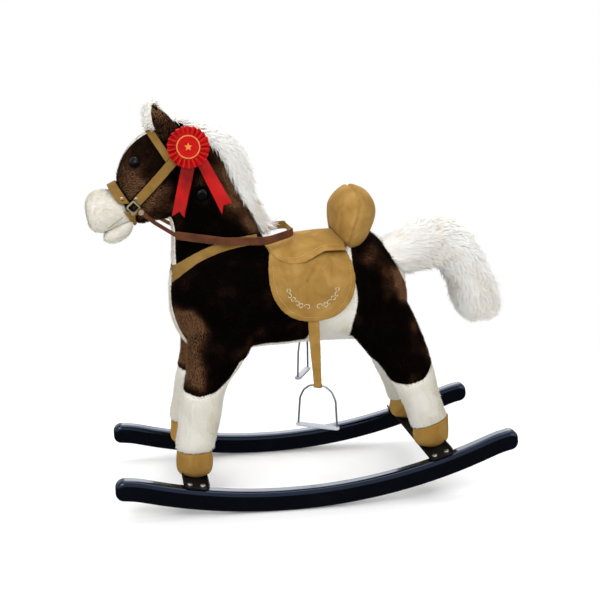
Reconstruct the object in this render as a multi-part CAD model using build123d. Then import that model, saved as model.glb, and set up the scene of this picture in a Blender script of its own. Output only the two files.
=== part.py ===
from build123d import *
import math
import os

# Plush rocking horse on two wooden rockers, in millimetres. X runs from nose to tail, Y from the
# horse's left to its right, Z up from the floor. The origin is under the middle of the outline.

# Rocker base
rocker_radius = 945.0
rocker_contact_x = -50.0
rocker_front_reach = 289.0
rocker_rear_reach = 418.0
rocker_tip_length = 46.0
rocker_tip_radius = 170.0
rocker_height = 36.0
rocker_thickness = 27.0
rocker_edge_radius = 9.0
base_half_width = 153.0

# Pressed steel crossbars, one under each pair of hooves
crossbar_half_length = 150.0
crossbar_width = 44.0
crossbar_sheet = 2.5
crossbar_lip = 5.0
front_crossbar_x = -204.0
rear_crossbar_x = 219.0
screw_inset = 12.0
screw_spread = 11.0
screw_diameter = 5.0
screw_head_diameter = 9.5
screw_head_height = 3.0
screw_length = 26.0

# Steel leg frames, spine board and neck post inside the stuffing
bar_diameter = 12.0
bar_bend = 40.0
frame_top_z = 343.0
frame_half_span = 52.0
front_frame_x = -150.0
rear_frame_x = 112.0
bolt_diameter = 6.0
bolt_head_diameter = 10.0
bolt_head_height = 4.0
bolt_reach = 30.0
washer_diameter = 16.0
washer_thickness = 1.6
board_width = 70.0
board_thickness = 15.0
board_overhang = 24.0
post_diameter = 22.0
post_foot = 54.0
post_foot_thickness = 3.0
post_foot_x = -110.0
post_top = (-206.0, 572.0)
fit_gap = 0.3

# Stuffed forms: each section is (top x, top z), (bottom x, bottom z), half width
body_sections = [
    ((-231, 376), (-231, 328), 26),
    ((-222, 408), (-222, 292), 52),
    ((-190, 437), (-190, 253), 80),
    ((-135, 440), (-135, 246), 93),
    ((-65, 437), (-65, 255), 97),
    ((15, 436), (15, 260), 98),
    ((75, 444), (75, 260), 98),
    ((115, 451), (115, 261), 93),
    ((148, 424), (148, 276), 76),
    ((172, 386), (172, 298), 50),
    ((182, 354), (182, 322), 20),
]
neck_sections = [
    ((-66, 430), (-222, 362), 76),
    ((-76, 456), (-226, 396), 66),
    ((-101, 506), (-225, 450), 56),
    ((-126, 560), (-230, 488), 51),
    ((-152, 604), (-240, 516), 47),
    ((-176, 616), (-240, 540), 38),
]
head_sections = [
    ((-186, 622), (-186, 556), 38),
    ((-220, 642), (-206, 506), 50),
    ((-262, 628), (-232, 483), 54),
    ((-294, 600), (-255, 480), 50),
    ((-311, 565), (-272, 476), 42),
    ((-317, 534), (-286, 474), 36),
]
muzzle_sections = [
    ((-309, 530), (-283, 480), 33),
    ((-330, 531), (-303, 470), 41),
    ((-349, 530), (-326, 462), 43),
    ((-362, 521), (-348, 461), 39),
    ((-367, 503), (-362, 475), 22),
]
lip_sections = [
    ((-288, 491), (-293, 462), 27),
    ((-304, 489), (-310, 446), 35),
    ((-323, 479), (-329, 442), 34),
    ((-336, 464), (-339, 449), 20),
]
mane_sections = [
    ((-219, 652), (-221, 626), 14),
    ((-206, 655), (-209, 616), 19),
    ((-166, 636), (-180, 596), 26),
    ((-116, 611), (-152, 572), 29),
    ((-92, 572), (-140, 540), 29),
    ((-84, 524), (-124, 502), 26),
    ((-68, 490), (-104, 470), 20),
    ((-47, 465), (-76, 448), 9),
]
forelock_sections = [
    ((-262, 626), (-240, 606), 22),
    ((-268, 648), (-230, 634), 26),
    ((-266, 668), (-236, 660), 21),
    ((-256, 680), (-246, 679), 7),
]
tail_sections = [
    ((146, 434), (184, 379), 27),
    ((190, 457), (205, 376), 36),
    ((250, 469), (238, 384), 42),
    ((297, 447), (258, 371), 43),
    ((335, 388), (273, 340), 43),
    ((361, 330), (284, 305), 39),
    ((365, 301), (297, 287), 30),
    ((351, 283), (316, 277), 14),
]

# Limbs on the left side: each section is centre x, centre y, z, half length, half width
fore_leg_sections = [
    (-142, -46, 322, 46, 32),
    (-149, -56, 292, 52, 38),
    (-156, -64, 262, 53, 41),
    (-170, -70, 226, 41, 36),
    (-181, -74, 199, 36, 33),
    (-188, -77, 166, 35, 31),
    (-193, -79, 132, 34, 30),
    (-199, -80, 95, 31, 28),
]
hind_leg_sections = [
    (116, -48, 340, 54, 34),
    (126, -57, 306, 62, 41),
    (137, -63, 280, 61, 43),
    (156, -68, 250, 53, 41),
    (184, -74, 198, 40, 35),
    (197, -77, 165, 35, 32),
    (208, -79, 138, 32, 29),
    (214, -80, 122, 31, 28),
]
hoof_half_length = 31.0
hoof_half_width = 29.0
fore_hoof_x = -201.0
hind_hoof_x = 217.0
hoof_y = 80.0
hoof_round = 9.0
ear_sections = [
    (-226, -37, 614, 12, 7),
    (-231, -39, 630, 18, 9),
    (-239, -41, 648, 16, 8),
    (-247, -42, 662, 9, 6),
    (-252, -42, 672, 2.5, 2),
]
eye_place = (-284.0, 39.2, 580.0)
eye_facing = (-0.42, 0.78, 0.46)
eye_diameter = 17.0
eye_height = 7.0

# Saddle
saddle_sections = [
    ((-76, 440), (-76, 254), 105.5),
    ((-40, 447), (-40, 247), 106.5),
    ((10, 453), (10, 241), 107.5),
    ((64, 455), (64, 239), 108),
]
skirt_outline = [
    (-79, 480), (-74, 440), (-64, 424), (-50, 414), (-26, 409), (2, 416), (28, 427), (66, 429), (72, 480),
]
flap_half_width = 102.5
flap_half_height = 91.0
flap_centre_z = 347.0
flap_thickness = 3.5
flap_outline = [
    (-66, 428), (-73, 396), (-68, 362), (-43, 328), (-17, 317), (10, 316), (38, 323), (61, 343), (74, 388),
    (66, 427),
]
cantle_sections = [
    ((49, 500), (51, 472), 21),
    ((62, 522), (55, 438), 57),
    ((88, 532), (75, 412), 74),
    ((114, 520), (102, 430), 58),
    ((125, 498), (122, 466), 24),
]

# Stirrups
strap_y = 100.6
strap_thickness = 2.2
strap_width = 19.0
strap_pivot_x = 0.0
strap_pivot_z = 336.0
left_strap_end = (9.0, 203.0)
left_strap_twist = 30.0
right_strap_end = (20.0, 238.0)
right_strap_twist = 64.0
rivet_diameter = 5.0
rivet_head_diameter = 10.0
rivet_head_height = 0.8
iron_wire = 3.4
iron_top_half = 12.5
iron_brow_half = 25.0
iron_brow_drop = 9.0
iron_shoulder_half = 32.0
iron_shoulder_drop = 24.0
iron_foot_half = 35.0
iron_drop = 71.0
iron_corner = 15.0
hem_half_length = 7.0
hem_wall = 2.2
tread_half_length = 39.0
tread_depth = 12.0
tread_height = 5.0

# Bridle, reins and breast collar
band_thickness = 2.4
band_width = 16.0
noseband_upper = ((-316.0, 545.0), (-274.0, 483.0), 41.0)
noseband_lower = ((-330.0, 538.0), (-288.0, 472.0), 40.0)
cheek_start = (-284.0, 514.0)
cheek_end = (-219.0, 585.0)
brow_top = (-272.0, 650.0)
brow_end = (-223.0, 574.0)
brow_width = 13.0
collar_points = [(-84, 447), (-192, 419), (-254, 352)]
ring_place = (-289.0, 506.0)
ring_size = 18.0
ring_wire = 2.6
ring_y = 46.5
ring_depth = 14.0
rivet_places = [(-307.0, 42.5, 521.0), (-284.0, 48.0, 521.0), (-290.0, 41.0, 494.0)]
bead_diameter = 6.0
bead_height = 2.0
bead_seat = 12.0
rein_pivot = (-277.0, 499.0)
rein_width = 14.0
rein_billet_width = 7.0
rein_eye_diameter = 13.0
rein_thickness = 2.4
rein_points = [(-256, 54, 482), (-222, 62, 461), (-142, 72, 450), (-72, 66, 448), (-22, 48, 459)]
rein_bend = 26.0
rein_pivot_y = 50.0
stud_diameter = 5.0
stud_head_diameter = 9.0

# Rosette, neck button and its sound unit
rosette_centre = (-198.0, -58.0, 604.0)
rosette_facing = (-0.08, -0.96, 0.22)
rosette_radius = 35.0
rosette_depth = 6.0
rosette_pleats = 24
rosette_disc_radius = 20.0
rosette_disc_depth = 5.0
rosette_rim = 5.0
rosette_pleat_depth = 3.0
rosette_pad_radius = 12.0
ribbon_thickness = 1.0
ribbon_y = 60.0
ribbon_outlines = [
    [(-207, 584), (-185, 584), (-207, 489), (-215, 500), (-228, 492)],
    [(-190, 584), (-170, 584), (-128, 512), (-143, 509), (-145, 493)],
]
button_place = (-177.0, -54.0, 526.0)
button_diameter = 19.0
button_height = 14.0
button_crown = 5.0
button_travel = 2.5
unit_size = (38.0, 22.0, 38.0)


def oval(a, b):
    """A closed oval of four tangent arcs, half lengths a along x and b along y."""
    if abs(a - b) < 0.02 * max(a, b):
        a = b * 1.02
    long, short = max(a, b), min(a, b)
    r = min(1.15 * short * short / long, 0.96 * short)
    big = (long * long - 2 * long * r + short * short) / (2 * (short - r))
    ux, uy = (long - r) / (big - r), (big - short) / (big - r)
    jx, jy = big * ux, short - big + big * uy
    swap = b > a

    def at(x, y):
        return (y, x) if swap else (x, y)

    ends = ThreePointArc(at(jx, -jy), at(long, 0), at(jx, jy))
    top = ThreePointArc(at(jx, jy), at(0, short), at(-jx, jy))
    back = ThreePointArc(at(-jx, jy), at(-long, 0), at(-jx, -jy))
    bottom = ThreePointArc(at(-jx, -jy), at(0, -short), at(jx, -jy))
    return make_face(Curve() + [ends, top, back, bottom])


def profile_section(top, bottom, half_width, grow):
    """An oval across the horse, standing on the side-view line from bottom to top."""
    dx, dz = top[0] - bottom[0], top[1] - bottom[1]
    length = math.hypot(dx, dz)
    middle = ((top[0] + bottom[0]) / 2, 0, (top[1] + bottom[1]) / 2)
    plane = Plane(origin=middle, x_dir=(0, 1, 0), z_dir=(dz / length, 0, -dx / length))
    return plane * oval(half_width + grow, length / 2 + grow)


def profile_form(sections, grow=0.0):
    """A stuffed form through side-view sections, swollen by grow."""
    return loft([profile_section(*section, grow) for section in sections])


def limb_form(sections, grow=0.0):
    """A stuffed limb through level sections, swollen by grow."""
    return loft([Pos(x, y, z) * oval(hx + grow, hy + grow) for x, y, z, hx, hy in sections])


def mirrored(shape):
    """The same piece on the other side of the horse."""
    return mirror(shape, about=Plane.XZ)


def side_prism(points, half_depth=200.0):
    """A prism across the horse over a side-view outline of straight lines."""
    outline = make_face(Polyline(*points, close=True))
    return extrude(Plane.XZ * outline, amount=half_depth, both=True)


def smooth_prism(points, half_depth=200.0):
    """A prism across the horse over a side-view outline with a smooth edge and a straight top."""
    edge = Spline(*points)
    outline = make_face(Curve() + [edge, Line(points[-1], points[0])])
    return extrude(Plane.XZ * outline, amount=half_depth, both=True)


def strip(start, end, width):
    """Corners of a side-view strip of the given width from start to end."""
    dx, dz = end[0] - start[0], end[1] - start[1]
    length = math.hypot(dx, dz)
    nx, nz = -dz / length * width / 2, dx / length * width / 2
    return [
        (start[0] + nx, start[1] + nz),
        (end[0] + nx, end[1] + nz),
        (end[0] - nx, end[1] - nz),
        (start[0] - nx, start[1] - nz),
    ]


def side_of(shape, sign):
    """The part of a shape on one side of the horse, sign -1 for its left and 1 for its right."""
    half = Pos(0, sign * 300, 350) * Box(1200, 600, 1200)
    return shape & half


def rod(start, end, diameter):
    """A round rod between two points."""
    axis = Vector(end) - Vector(start)
    return extrude(Plane(start, z_dir=axis) * Circle(diameter / 2), amount=axis.length)


def placed(shape, origin, facing, x_dir=None):
    """A shape modelled on the XY plane, set at origin with its Z axis along facing."""
    return Plane(origin=origin, x_dir=x_dir, z_dir=facing) * shape


def save(name, shape):
    """Writes one node, as one solid or as a group of separate solids."""
    solids = shape.solids()
    whole = solids[0] if len(solids) == 1 else Compound(children=list(solids))
    export_step(whole, "parts/" + name + ".step")


def rocker_point(angle, height):
    """A side-view point at an angle round the rocker's centre, height above its running edge."""
    r = rocker_radius - height
    return (rocker_contact_x + r * math.sin(angle), rocker_radius - r * math.cos(angle))


def rocker_angle(x, height):
    """The angle round the rocker's centre at which a line at this height is over x."""
    return math.asin((x - rocker_contact_x) / (rocker_radius - height))


def rocker_plane(x):
    """The plane of a crossbar's underside, resting on the rockers' hollow tops at x."""
    angle = rocker_angle(x, rocker_height)
    r = rocker_radius - rocker_height
    rise = r - math.sqrt(r * r - crossbar_width * crossbar_width / 4)
    px, pz = rocker_point(angle, rocker_height + rise)
    return Plane(
        origin=(px, 0, pz),
        x_dir=(math.cos(angle), 0, math.sin(angle)),
        z_dir=(-math.sin(angle), 0, math.cos(angle)),
    )


def rocker(y_middle):
    """One rocker: a bent bar with eased edges whose tips straighten out."""
    front = -(rocker_front_reach - rocker_tip_length) / rocker_radius
    rear = (rocker_rear_reach - rocker_tip_length) / rocker_radius
    turn = math.degrees(rocker_tip_length / rocker_tip_radius)
    low = ThreePointArc(rocker_point(front, 0), rocker_point(0, 0), rocker_point(rear, 0))
    middle = (front + rear) / 2
    high = ThreePointArc(
        rocker_point(front, rocker_height),
        rocker_point(middle, rocker_height),
        rocker_point(rear, rocker_height),
    )
    outer = rocker_tip_radius + rocker_height
    lines = [low, high]
    ends = []
    for angle, sign in ((front, -1), (rear, 1)):
        tangent = (sign * math.cos(angle), sign * math.sin(angle))
        under = JernArc(rocker_point(angle, 0), tangent, rocker_tip_radius, -sign * turn)
        over = JernArc(rocker_point(angle, rocker_height), tangent, outer, -sign * turn)
        lines += [under, over, Line(under @ 1, over @ 1)]
        ends += [under @ 1, over @ 1]
    face = make_face(Curve() + lines)
    corners = [v for v in face.vertices() if min((Vector(v) - e).length for e in ends) < 0.01]
    face = fillet(corners, rocker_height * 0.4)
    bar = extrude(Plane.XZ * face, amount=rocker_thickness / 2, both=True)
    rims = [e for e in bar.edges() if abs(abs(e.center().Y) - rocker_thickness / 2) < 0.01]
    return Pos(0, y_middle, 0) * fillet(rims, rocker_edge_radius)


def crossbar(x):
    """A shallow steel channel with rounded ends, its lips turned up."""
    inside = crossbar_width / 2 - crossbar_sheet
    corner = crossbar_sheet * 2
    outer = Pos(0, crossbar_lip / 2 + crossbar_sheet / 2) * Rectangle(
        crossbar_width, crossbar_lip + crossbar_sheet
    )
    outer = fillet(outer.vertices().sort_by(Axis.Y)[:2], corner)
    inner = Pos(0, crossbar_sheet + crossbar_lip) * Rectangle(2 * inside, 2 * crossbar_lip)
    inner = fillet(inner.vertices().sort_by(Axis.Y)[:2], corner - crossbar_sheet)
    channel = extrude(Plane.XZ * (outer - inner), amount=crossbar_half_length, both=True)
    plan = RectangleRounded(crossbar_width, 2 * crossbar_half_length, 9)
    return rocker_plane(x) * (channel & extrude(plan, amount=2 * rocker_height))


def pan_screw():
    """A pan-head screw with its seat at z = 0."""
    head = extrude(Circle(screw_head_diameter / 2), amount=screw_head_height)
    head = fillet(head.edges().sort_by(Axis.Z)[-1], screw_head_height * 0.6)
    slot = Pos(0, 0, screw_head_height) * (Box(5.5, 1.1, 2.4) + Box(1.1, 5.5, 2.4))
    shank = extrude(Circle(screw_diameter / 2), amount=-screw_length)
    return head - slot + shank


def hex_bolt():
    """A bolt pointing up, its head under a washer, with the washer's lower face at z = 0."""
    head = extrude(RegularPolygon(bolt_head_diameter / 2, 6, major_radius=False), amount=-bolt_head_height)
    return head + extrude(Circle(bolt_diameter / 2), amount=bolt_reach)


def washer():
    """A plain washer on z = 0."""
    ring = Circle(washer_diameter / 2) - Circle(bolt_diameter / 2 + fit_gap)
    return extrude(ring, amount=washer_thickness)


def under_crossbar(x, y):
    """The place under a crossbar's web, at the middle of a hoof."""
    return rocker_plane(x) * Pos(0, y, 0)


def leg_frame(crossbar_x, top_x):
    """A bent steel bar standing on a crossbar inside both legs of a pair."""
    feet = [(rocker_plane(crossbar_x) * Pos(0, s * hoof_y, crossbar_sheet)).position for s in (-1, 1)]
    line = FilletPolyline(
        feet[0],
        (top_x, -frame_half_span, frame_top_z),
        (top_x, frame_half_span, frame_top_z),
        feet[1],
        radius=bar_bend,
    )
    bar = sweep(Plane(line @ 0, z_dir=line % 0) * Circle(bar_diameter / 2), path=line)
    floor = rocker_plane(crossbar_x) * Pos(0, 0, crossbar_sheet - 50) * Box(300, 400, 100)
    return bar - floor


def hoof(crossbar_x, centre_x, top_z):
    """A stuffed hoof with a rounded sole, standing in a crossbar on the horse's left."""
    foot = rocker_plane(crossbar_x) * Pos(0, -hoof_y, crossbar_sheet)
    base = foot.position.Z
    spread = hoof_round * 0.9
    levels = [
        (base - 2, hoof_half_length - spread - 3, hoof_half_width - spread - 3),
        (base + hoof_round * 0.5, hoof_half_length - 2.5, hoof_half_width - 2.5),
        (base + hoof_round * 2, hoof_half_length + 0.5, hoof_half_width + 0.5),
        (top_z, hoof_half_length - 0.5, hoof_half_width - 0.5),
    ]
    form = loft([Pos(centre_x, -hoof_y, z) * oval(hx, hy) for z, hx, hy in levels])
    floor = rocker_plane(crossbar_x) * Pos(0, 0, crossbar_sheet - 50) * Box(300, 400, 100)
    return form - floor


def flap_layer(grow):
    """Half the outline of the saddle's side: round over the back, then straight down."""
    width = flap_half_width + grow
    return oval(width, flap_half_height + grow) + Pos(0, -40) * Rectangle(2 * width, 80)


def band(upper, lower):
    """A closed strap between two side-view sections."""
    sections = (upper, lower)
    outside = loft([profile_section(*section, band_thickness) for section in sections])
    return outside - loft([profile_section(*section, 0) for section in sections])


def stirrup(strap_end, twist):
    """The strap, iron and tread of a stirrup on the horse's left, its strap turned by twist."""
    end_x, end_z = strap_end
    fall = strap_pivot_z - end_z
    levels = [
        (strap_pivot_z + strap_width / 2, strap_width, 0),
        (strap_pivot_z - 0.18 * fall, strap_width, 0),
        (strap_pivot_z - 0.46 * fall, strap_width - 1, twist / 3),
        (strap_pivot_z - 0.73 * fall, strap_width - 3, twist * 0.7),
        (end_z + iron_wire, 2 * hem_half_length, twist),
    ]
    faces = []
    for z, width, turn in levels:
        along = max((strap_pivot_z - z) / (strap_pivot_z - end_z), 0)
        spot = Pos(strap_pivot_x + along * (end_x - strap_pivot_x), -strap_y, z)
        faces.append(spot * Rot(0, 0, -turn) * Rectangle(width, strap_thickness))
    frame = Pos(end_x, -strap_y, end_z) * Rot(0, 0, -twist)
    hem_inner = iron_wire / 2 + 0.5
    hem = frame * Rot(0, 90, 0) * Cylinder(hem_inner + hem_wall, 2 * hem_half_length)
    hem_bore = frame * Rot(0, 90, 0) * Cylinder(hem_inner, 2 * hem_half_length + 2)
    rivet_bore = rod(
        (strap_pivot_x, -strap_y - 5, strap_pivot_z),
        (strap_pivot_x, -strap_y + 5, strap_pivot_z),
        rivet_diameter + 2 * fit_gap,
    )
    strap = loft(faces) + hem - hem_bore - rivet_bore
    line = FilletPolyline(
        (-iron_foot_half, 0, -iron_drop),
        (-iron_shoulder_half, 0, -iron_shoulder_drop),
        (-iron_brow_half, 0, -iron_brow_drop),
        (-iron_top_half, 0, 0),
        (iron_top_half, 0, 0),
        (iron_brow_half, 0, -iron_brow_drop),
        (iron_shoulder_half, 0, -iron_shoulder_drop),
        (iron_foot_half, 0, -iron_drop),
        radius=iron_corner,
    )
    iron = sweep(Plane(line @ 0, z_dir=line % 0) * Circle(iron_wire / 2), path=line)
    tread = extrude(SlotOverall(2 * tread_half_length, tread_depth), amount=-tread_height)
    tread = fillet(tread.edges().filter_by(Plane.XY), tread_height * 0.35)
    tread_top = Pos(0, 0, -iron_drop + 1)
    iron -= tread_top * Pos(0, 0, -20) * Box(200, 60, 40)
    return strap, frame * iron, frame * tread_top * tread


os.makedirs("parts", exist_ok=True)

# Base
rocker_y = base_half_width - rocker_thickness / 2
crossbar_places = (front_crossbar_x, rear_crossbar_x)
screws = []
for bar_x in crossbar_places:
    for side in (-1, 1):
        for step in (-1, 1):
            spot = Pos(step * screw_spread, side * (crossbar_half_length - screw_inset), crossbar_sheet)
            screws.append(rocker_plane(bar_x) * spot * pan_screw())
screw_holes = []
for bar_x in crossbar_places:
    for side in (-1, 1):
        for step in (-1, 1):
            spot = Pos(step * screw_spread, side * (crossbar_half_length - screw_inset), 10 - screw_length)
            hole = Cylinder(screw_diameter / 2 + fit_gap, 2 * screw_length)
            screw_holes.append(rocker_plane(bar_x) * spot * hole)
bolts = []
washers = []
bolt_holes = []
for bar_x in crossbar_places:
    for side in (-1, 1):
        under = under_crossbar(bar_x, side * hoof_y)
        washers.append(under * Pos(0, 0, -washer_thickness) * washer())
        bolts.append(under * Pos(0, 0, -washer_thickness) * hex_bolt())
        hole = Cylinder(bolt_diameter / 2 + fit_gap, 2 * (bolt_reach + 2))
        bolt_holes.append(under * hole)
left_rocker = rocker(-rocker_y) - screw_holes
right_rocker = rocker(rocker_y) - screw_holes
front_crossbar = crossbar(front_crossbar_x) - screw_holes - bolt_holes
rear_crossbar = crossbar(rear_crossbar_x) - screw_holes - bolt_holes

# Frame inside the stuffing
front_leg_frame = leg_frame(front_crossbar_x, front_frame_x) - bolt_holes
rear_leg_frame = leg_frame(rear_crossbar_x, rear_frame_x) - bolt_holes
board_bottom = frame_top_z + bar_diameter / 2
board_front = front_frame_x - board_overhang
board_rear = rear_frame_x + board_overhang
board_middle = (board_front + board_rear) / 2
spine_board = Pos(board_middle, 0, board_bottom + board_thickness / 2) * Box(
    board_rear - board_front, board_width, board_thickness
)
spine_bolts = []
spine_holes = []
for frame_x in (front_frame_x, rear_frame_x):
    for side in (-1, 1):
        seat = Pos(frame_x, side * board_width / 3, board_bottom + board_thickness)
        screw = extrude(Circle(screw_head_diameter / 2), amount=screw_head_height)
        screw += extrude(Circle(screw_diameter / 2), amount=-board_thickness - bar_diameter / 2)
        spine_bolts.append(seat * screw)
        spine_holes.append(seat * Cylinder(screw_diameter / 2 + fit_gap, 2 * screw_length + 2))
spine_board -= spine_holes
front_leg_frame -= spine_holes
rear_leg_frame -= spine_holes
board_top = board_bottom + board_thickness
foot_plate = Pos(post_foot_x, 0, board_top + post_foot_thickness / 2) * Box(
    post_foot, post_foot * 0.8, post_foot_thickness
)
post_start = (post_foot_x, 0, board_top + 1)
neck_post = rod(post_start, (post_top[0], 0, post_top[1]), post_diameter) + foot_plate
neck_post -= Pos(post_foot_x, 0, board_top - 50) * Box(300, 200, 100)
frame_pieces = [front_leg_frame, rear_leg_frame, spine_board, neck_post] + spine_bolts

# Sound unit and its press button in the neck
unit_y = button_place[1] + 11 + unit_size[1] / 2
sound_unit = Pos(button_place[0], unit_y, button_place[2]) * fillet(
    Box(*unit_size).edges().filter_by(Axis.Y), 4
)
well_plane = Plane(
    origin=(button_place[0], unit_y - unit_size[1] / 2, button_place[2]), x_dir=(1, 0, 0), z_dir=(0, -1, 0)
)
button_well = well_plane * Pos(0, 0, -button_travel - 1) * Cylinder(
    button_diameter / 2 + 0.5, 40, align=(Align.CENTER, Align.CENTER, Align.MIN)
)
sound_unit -= button_well
button_dome = Cylinder(
    button_diameter / 2, button_height, align=(Align.CENTER, Align.CENTER, Align.MIN)
)
button_dome = fillet(button_dome.edges().sort_by(Axis.Z)[-1], button_crown)
neck_button = well_plane * button_dome

# Stuffed body
body_form = profile_form(body_sections)
body_clear = profile_form(body_sections, fit_gap)
body = body_form - frame_pieces
neck_form = profile_form(neck_sections)
neck_clear = profile_form(neck_sections, fit_gap)
neck = neck_form - body_form - neck_post - sound_unit - button_well
head_form = profile_form(head_sections)
head = head_form - neck_form - neck_post
muzzle_form = profile_form(muzzle_sections)
muzzle = muzzle_form - head_form
lower_lip = profile_form(lip_sections) - head_form - muzzle_form
left_fore_leg = limb_form(fore_leg_sections) - body_form - front_leg_frame
left_hind_leg = limb_form(hind_leg_sections) - body_form - rear_leg_frame
left_fore_hoof = hoof(front_crossbar_x, fore_hoof_x, fore_leg_sections[-1][2])
left_hind_hoof = hoof(rear_crossbar_x, hind_hoof_x, hind_leg_sections[-1][2])
left_fore_hoof = left_fore_hoof - front_leg_frame - front_crossbar - bolt_holes
left_hind_hoof = left_hind_hoof - rear_leg_frame - rear_crossbar - bolt_holes
left_ear = limb_form(ear_sections) - head_form - neck_form
eye = Cylinder(eye_diameter / 2, eye_height, align=(Align.CENTER, Align.CENTER, Align.MIN))
eye = fillet(eye.edges().sort_by(Axis.Z)[-1], eye_height * 0.8)
eye_seat = (eye_place[0], -eye_place[1], eye_place[2])
eye_look = (eye_facing[0], -eye_facing[1], eye_facing[2])
left_eye = placed(eye, eye_seat, eye_look) - head
mane = profile_form(mane_sections) - neck_form - head_form - body_form
forelock = profile_form(forelock_sections) - head_form - left_ear - mirrored(left_ear) - mane
tail = profile_form(tail_sections)

# Saddle
flap_wall = flap_layer(flap_thickness) - flap_layer(0)
flap_shell = Pos(0, 0, flap_centre_z) * extrude(Plane.YZ * flap_wall, amount=90, both=True)
flaps = (flap_shell & smooth_prism(flap_outline)) - body_clear
left_saddle_flap = side_of(flaps, -1)
right_saddle_flap = side_of(flaps, 1)
saddle_form = profile_form(saddle_sections) & smooth_prism(skirt_outline)
saddle_seat = saddle_form - body_form - neck_clear - left_saddle_flap - right_saddle_flap
cantle = profile_form(cantle_sections) - body_form - saddle_form - flaps

# Stirrups on the left side, mirrored for the right
strap_inner = -strap_y + strap_thickness / 2 + 0.4
rivet_foot = (strap_pivot_x, -flap_half_width, strap_pivot_z)
rivet_neck = (strap_pivot_x, strap_inner, strap_pivot_z)
rivet_end = (strap_pivot_x, strap_inner + rivet_head_height, strap_pivot_z)
left_rivet = rod(rivet_foot, rivet_neck, rivet_diameter) + rod(rivet_neck, rivet_end, rivet_head_diameter)
left_stirrup = stirrup(left_strap_end, left_strap_twist)
right_stirrup = [mirrored(piece) for piece in stirrup(right_strap_end, right_strap_twist)]

# Bridle
noseband_ring = band(noseband_upper, noseband_lower) - head_form - muzzle_form - lower_lip
ring_gap = Pos(ring_place[0], 0, ring_place[1]) * Box(400, 400, ring_size - 2 * ring_wire)
over_ring = Pos(0, 0, ring_place[1] + 250) * Box(1200, 400, 500)
noseband = (noseband_ring - ring_gap) & over_ring
jaw_strap = noseband_ring - ring_gap - over_ring
head_layer = profile_form(head_sections, band_thickness + 0.4) - profile_form(head_sections, 0.4)
cheek_strip = side_prism(strip(cheek_start, cheek_end, band_width))
cheek_straps = (head_layer & cheek_strip) - noseband - jaw_strap - neck_form
brow_strip = side_prism(strip(brow_top, brow_end, brow_width))
browband = (head_layer & brow_strip) - cheek_strip - left_ear - mirrored(left_ear) - neck_form - mane
forelock -= browband
ring_face = RectangleRounded(ring_size, ring_size, 3) - RectangleRounded(
    ring_size - 2 * ring_wire, ring_size - 2 * ring_wire, 1.5
)
ring_plane = Plane(origin=(ring_place[0], -ring_y, ring_place[1]), x_dir=(1, 0, 0), z_dir=(0, 1, 0))
left_ring = ring_plane * extrude(Rot(0, 0, 45) * ring_face, amount=ring_depth)
left_ring = left_ring - head_form - muzzle_form - noseband - jaw_strap - cheek_straps
left_beads = []
for bead_x, bead_y, bead_z in rivet_places:
    bead = extrude(Circle(bead_diameter / 2), amount=bead_height + bead_seat)
    bead = fillet(bead.edges().sort_by(Axis.Z)[-1], bead_height * 0.7)
    bead_plane = Plane(origin=(bead_x, -bead_y + bead_seat, bead_z), x_dir=(1, 0, 0), z_dir=(0, -1, 0))
    bead = bead_plane * bead - head_form - noseband - jaw_strap - cheek_straps - left_ring
    left_beads.append(bead.solids().sort_by(Axis.Y)[0])

# Reins: a flat strap that stands on its edge and loops round behind the mane
rein_route = [(rein_pivot[0], rein_pivot_y, rein_pivot[1])] + rein_points
left_route = [(x, -y) for x, y, z in rein_route]
right_route = [(x, y) for x, y, z in reversed(rein_route)]
rein_plan = trace(FilletPolyline(*left_route, *right_route, radius=rein_bend), rein_thickness)
rein_line = [(x, z) for x, y, z in rein_route]
rein_side = trace(FilletPolyline(*rein_line, radius=rein_bend), rein_billet_width)
rein_side += trace(FilletPolyline(*rein_line[2:], radius=rein_bend), rein_width)
rein_tall = Pos(0, 0, 350) * extrude(rein_plan, amount=300)
reins = rein_tall & extrude(Plane.XZ * rein_side, amount=200, both=True)
for side in (-1, 1):
    eye_plate = rod(
        (rein_pivot[0], side * (rein_pivot_y - rein_thickness / 2), rein_pivot[1]),
        (rein_pivot[0], side * (rein_pivot_y + rein_thickness / 2), rein_pivot[1]),
        rein_eye_diameter,
    )
    eye_bore = rod(
        (rein_pivot[0], side * (rein_pivot_y - 10), rein_pivot[1]),
        (rein_pivot[0], side * (rein_pivot_y + 10), rein_pivot[1]),
        stud_diameter + 2 * fit_gap,
    )
    reins = reins + eye_plate - eye_bore
rein_lean = (rein_points[0][1] - rein_pivot_y) / (rein_points[0][0] - rein_pivot[0])
stud_clear = fit_gap + rein_lean * rein_eye_diameter / 2
stud_out = -rein_pivot_y - rein_thickness / 2 - stud_clear
stud_in = (rein_pivot[0], -rein_pivot_y + 22, rein_pivot[1])
stud_neck = (rein_pivot[0], stud_out, rein_pivot[1])
stud_end = (rein_pivot[0], stud_out - 1.6, rein_pivot[1])
left_stud = rod(stud_in, stud_neck, stud_diameter) + rod(stud_neck, stud_end, stud_head_diameter)
left_stud = left_stud - head_form - left_ring - jaw_strap - cheek_straps

# Breast collar round the chest
body_layer = profile_form(body_sections, band_thickness + fit_gap) - body_clear
neck_layer = profile_form(neck_sections, band_thickness + fit_gap) - neck_clear
collar_band = extrude(Plane.XZ * trace(ThreePointArc(*collar_points), band_width), amount=200, both=True)
breast_collar = (body_layer & collar_band) + (neck_layer & collar_band)
breast_collar = breast_collar - body_form - neck_form - mane - saddle_form - flaps

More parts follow.
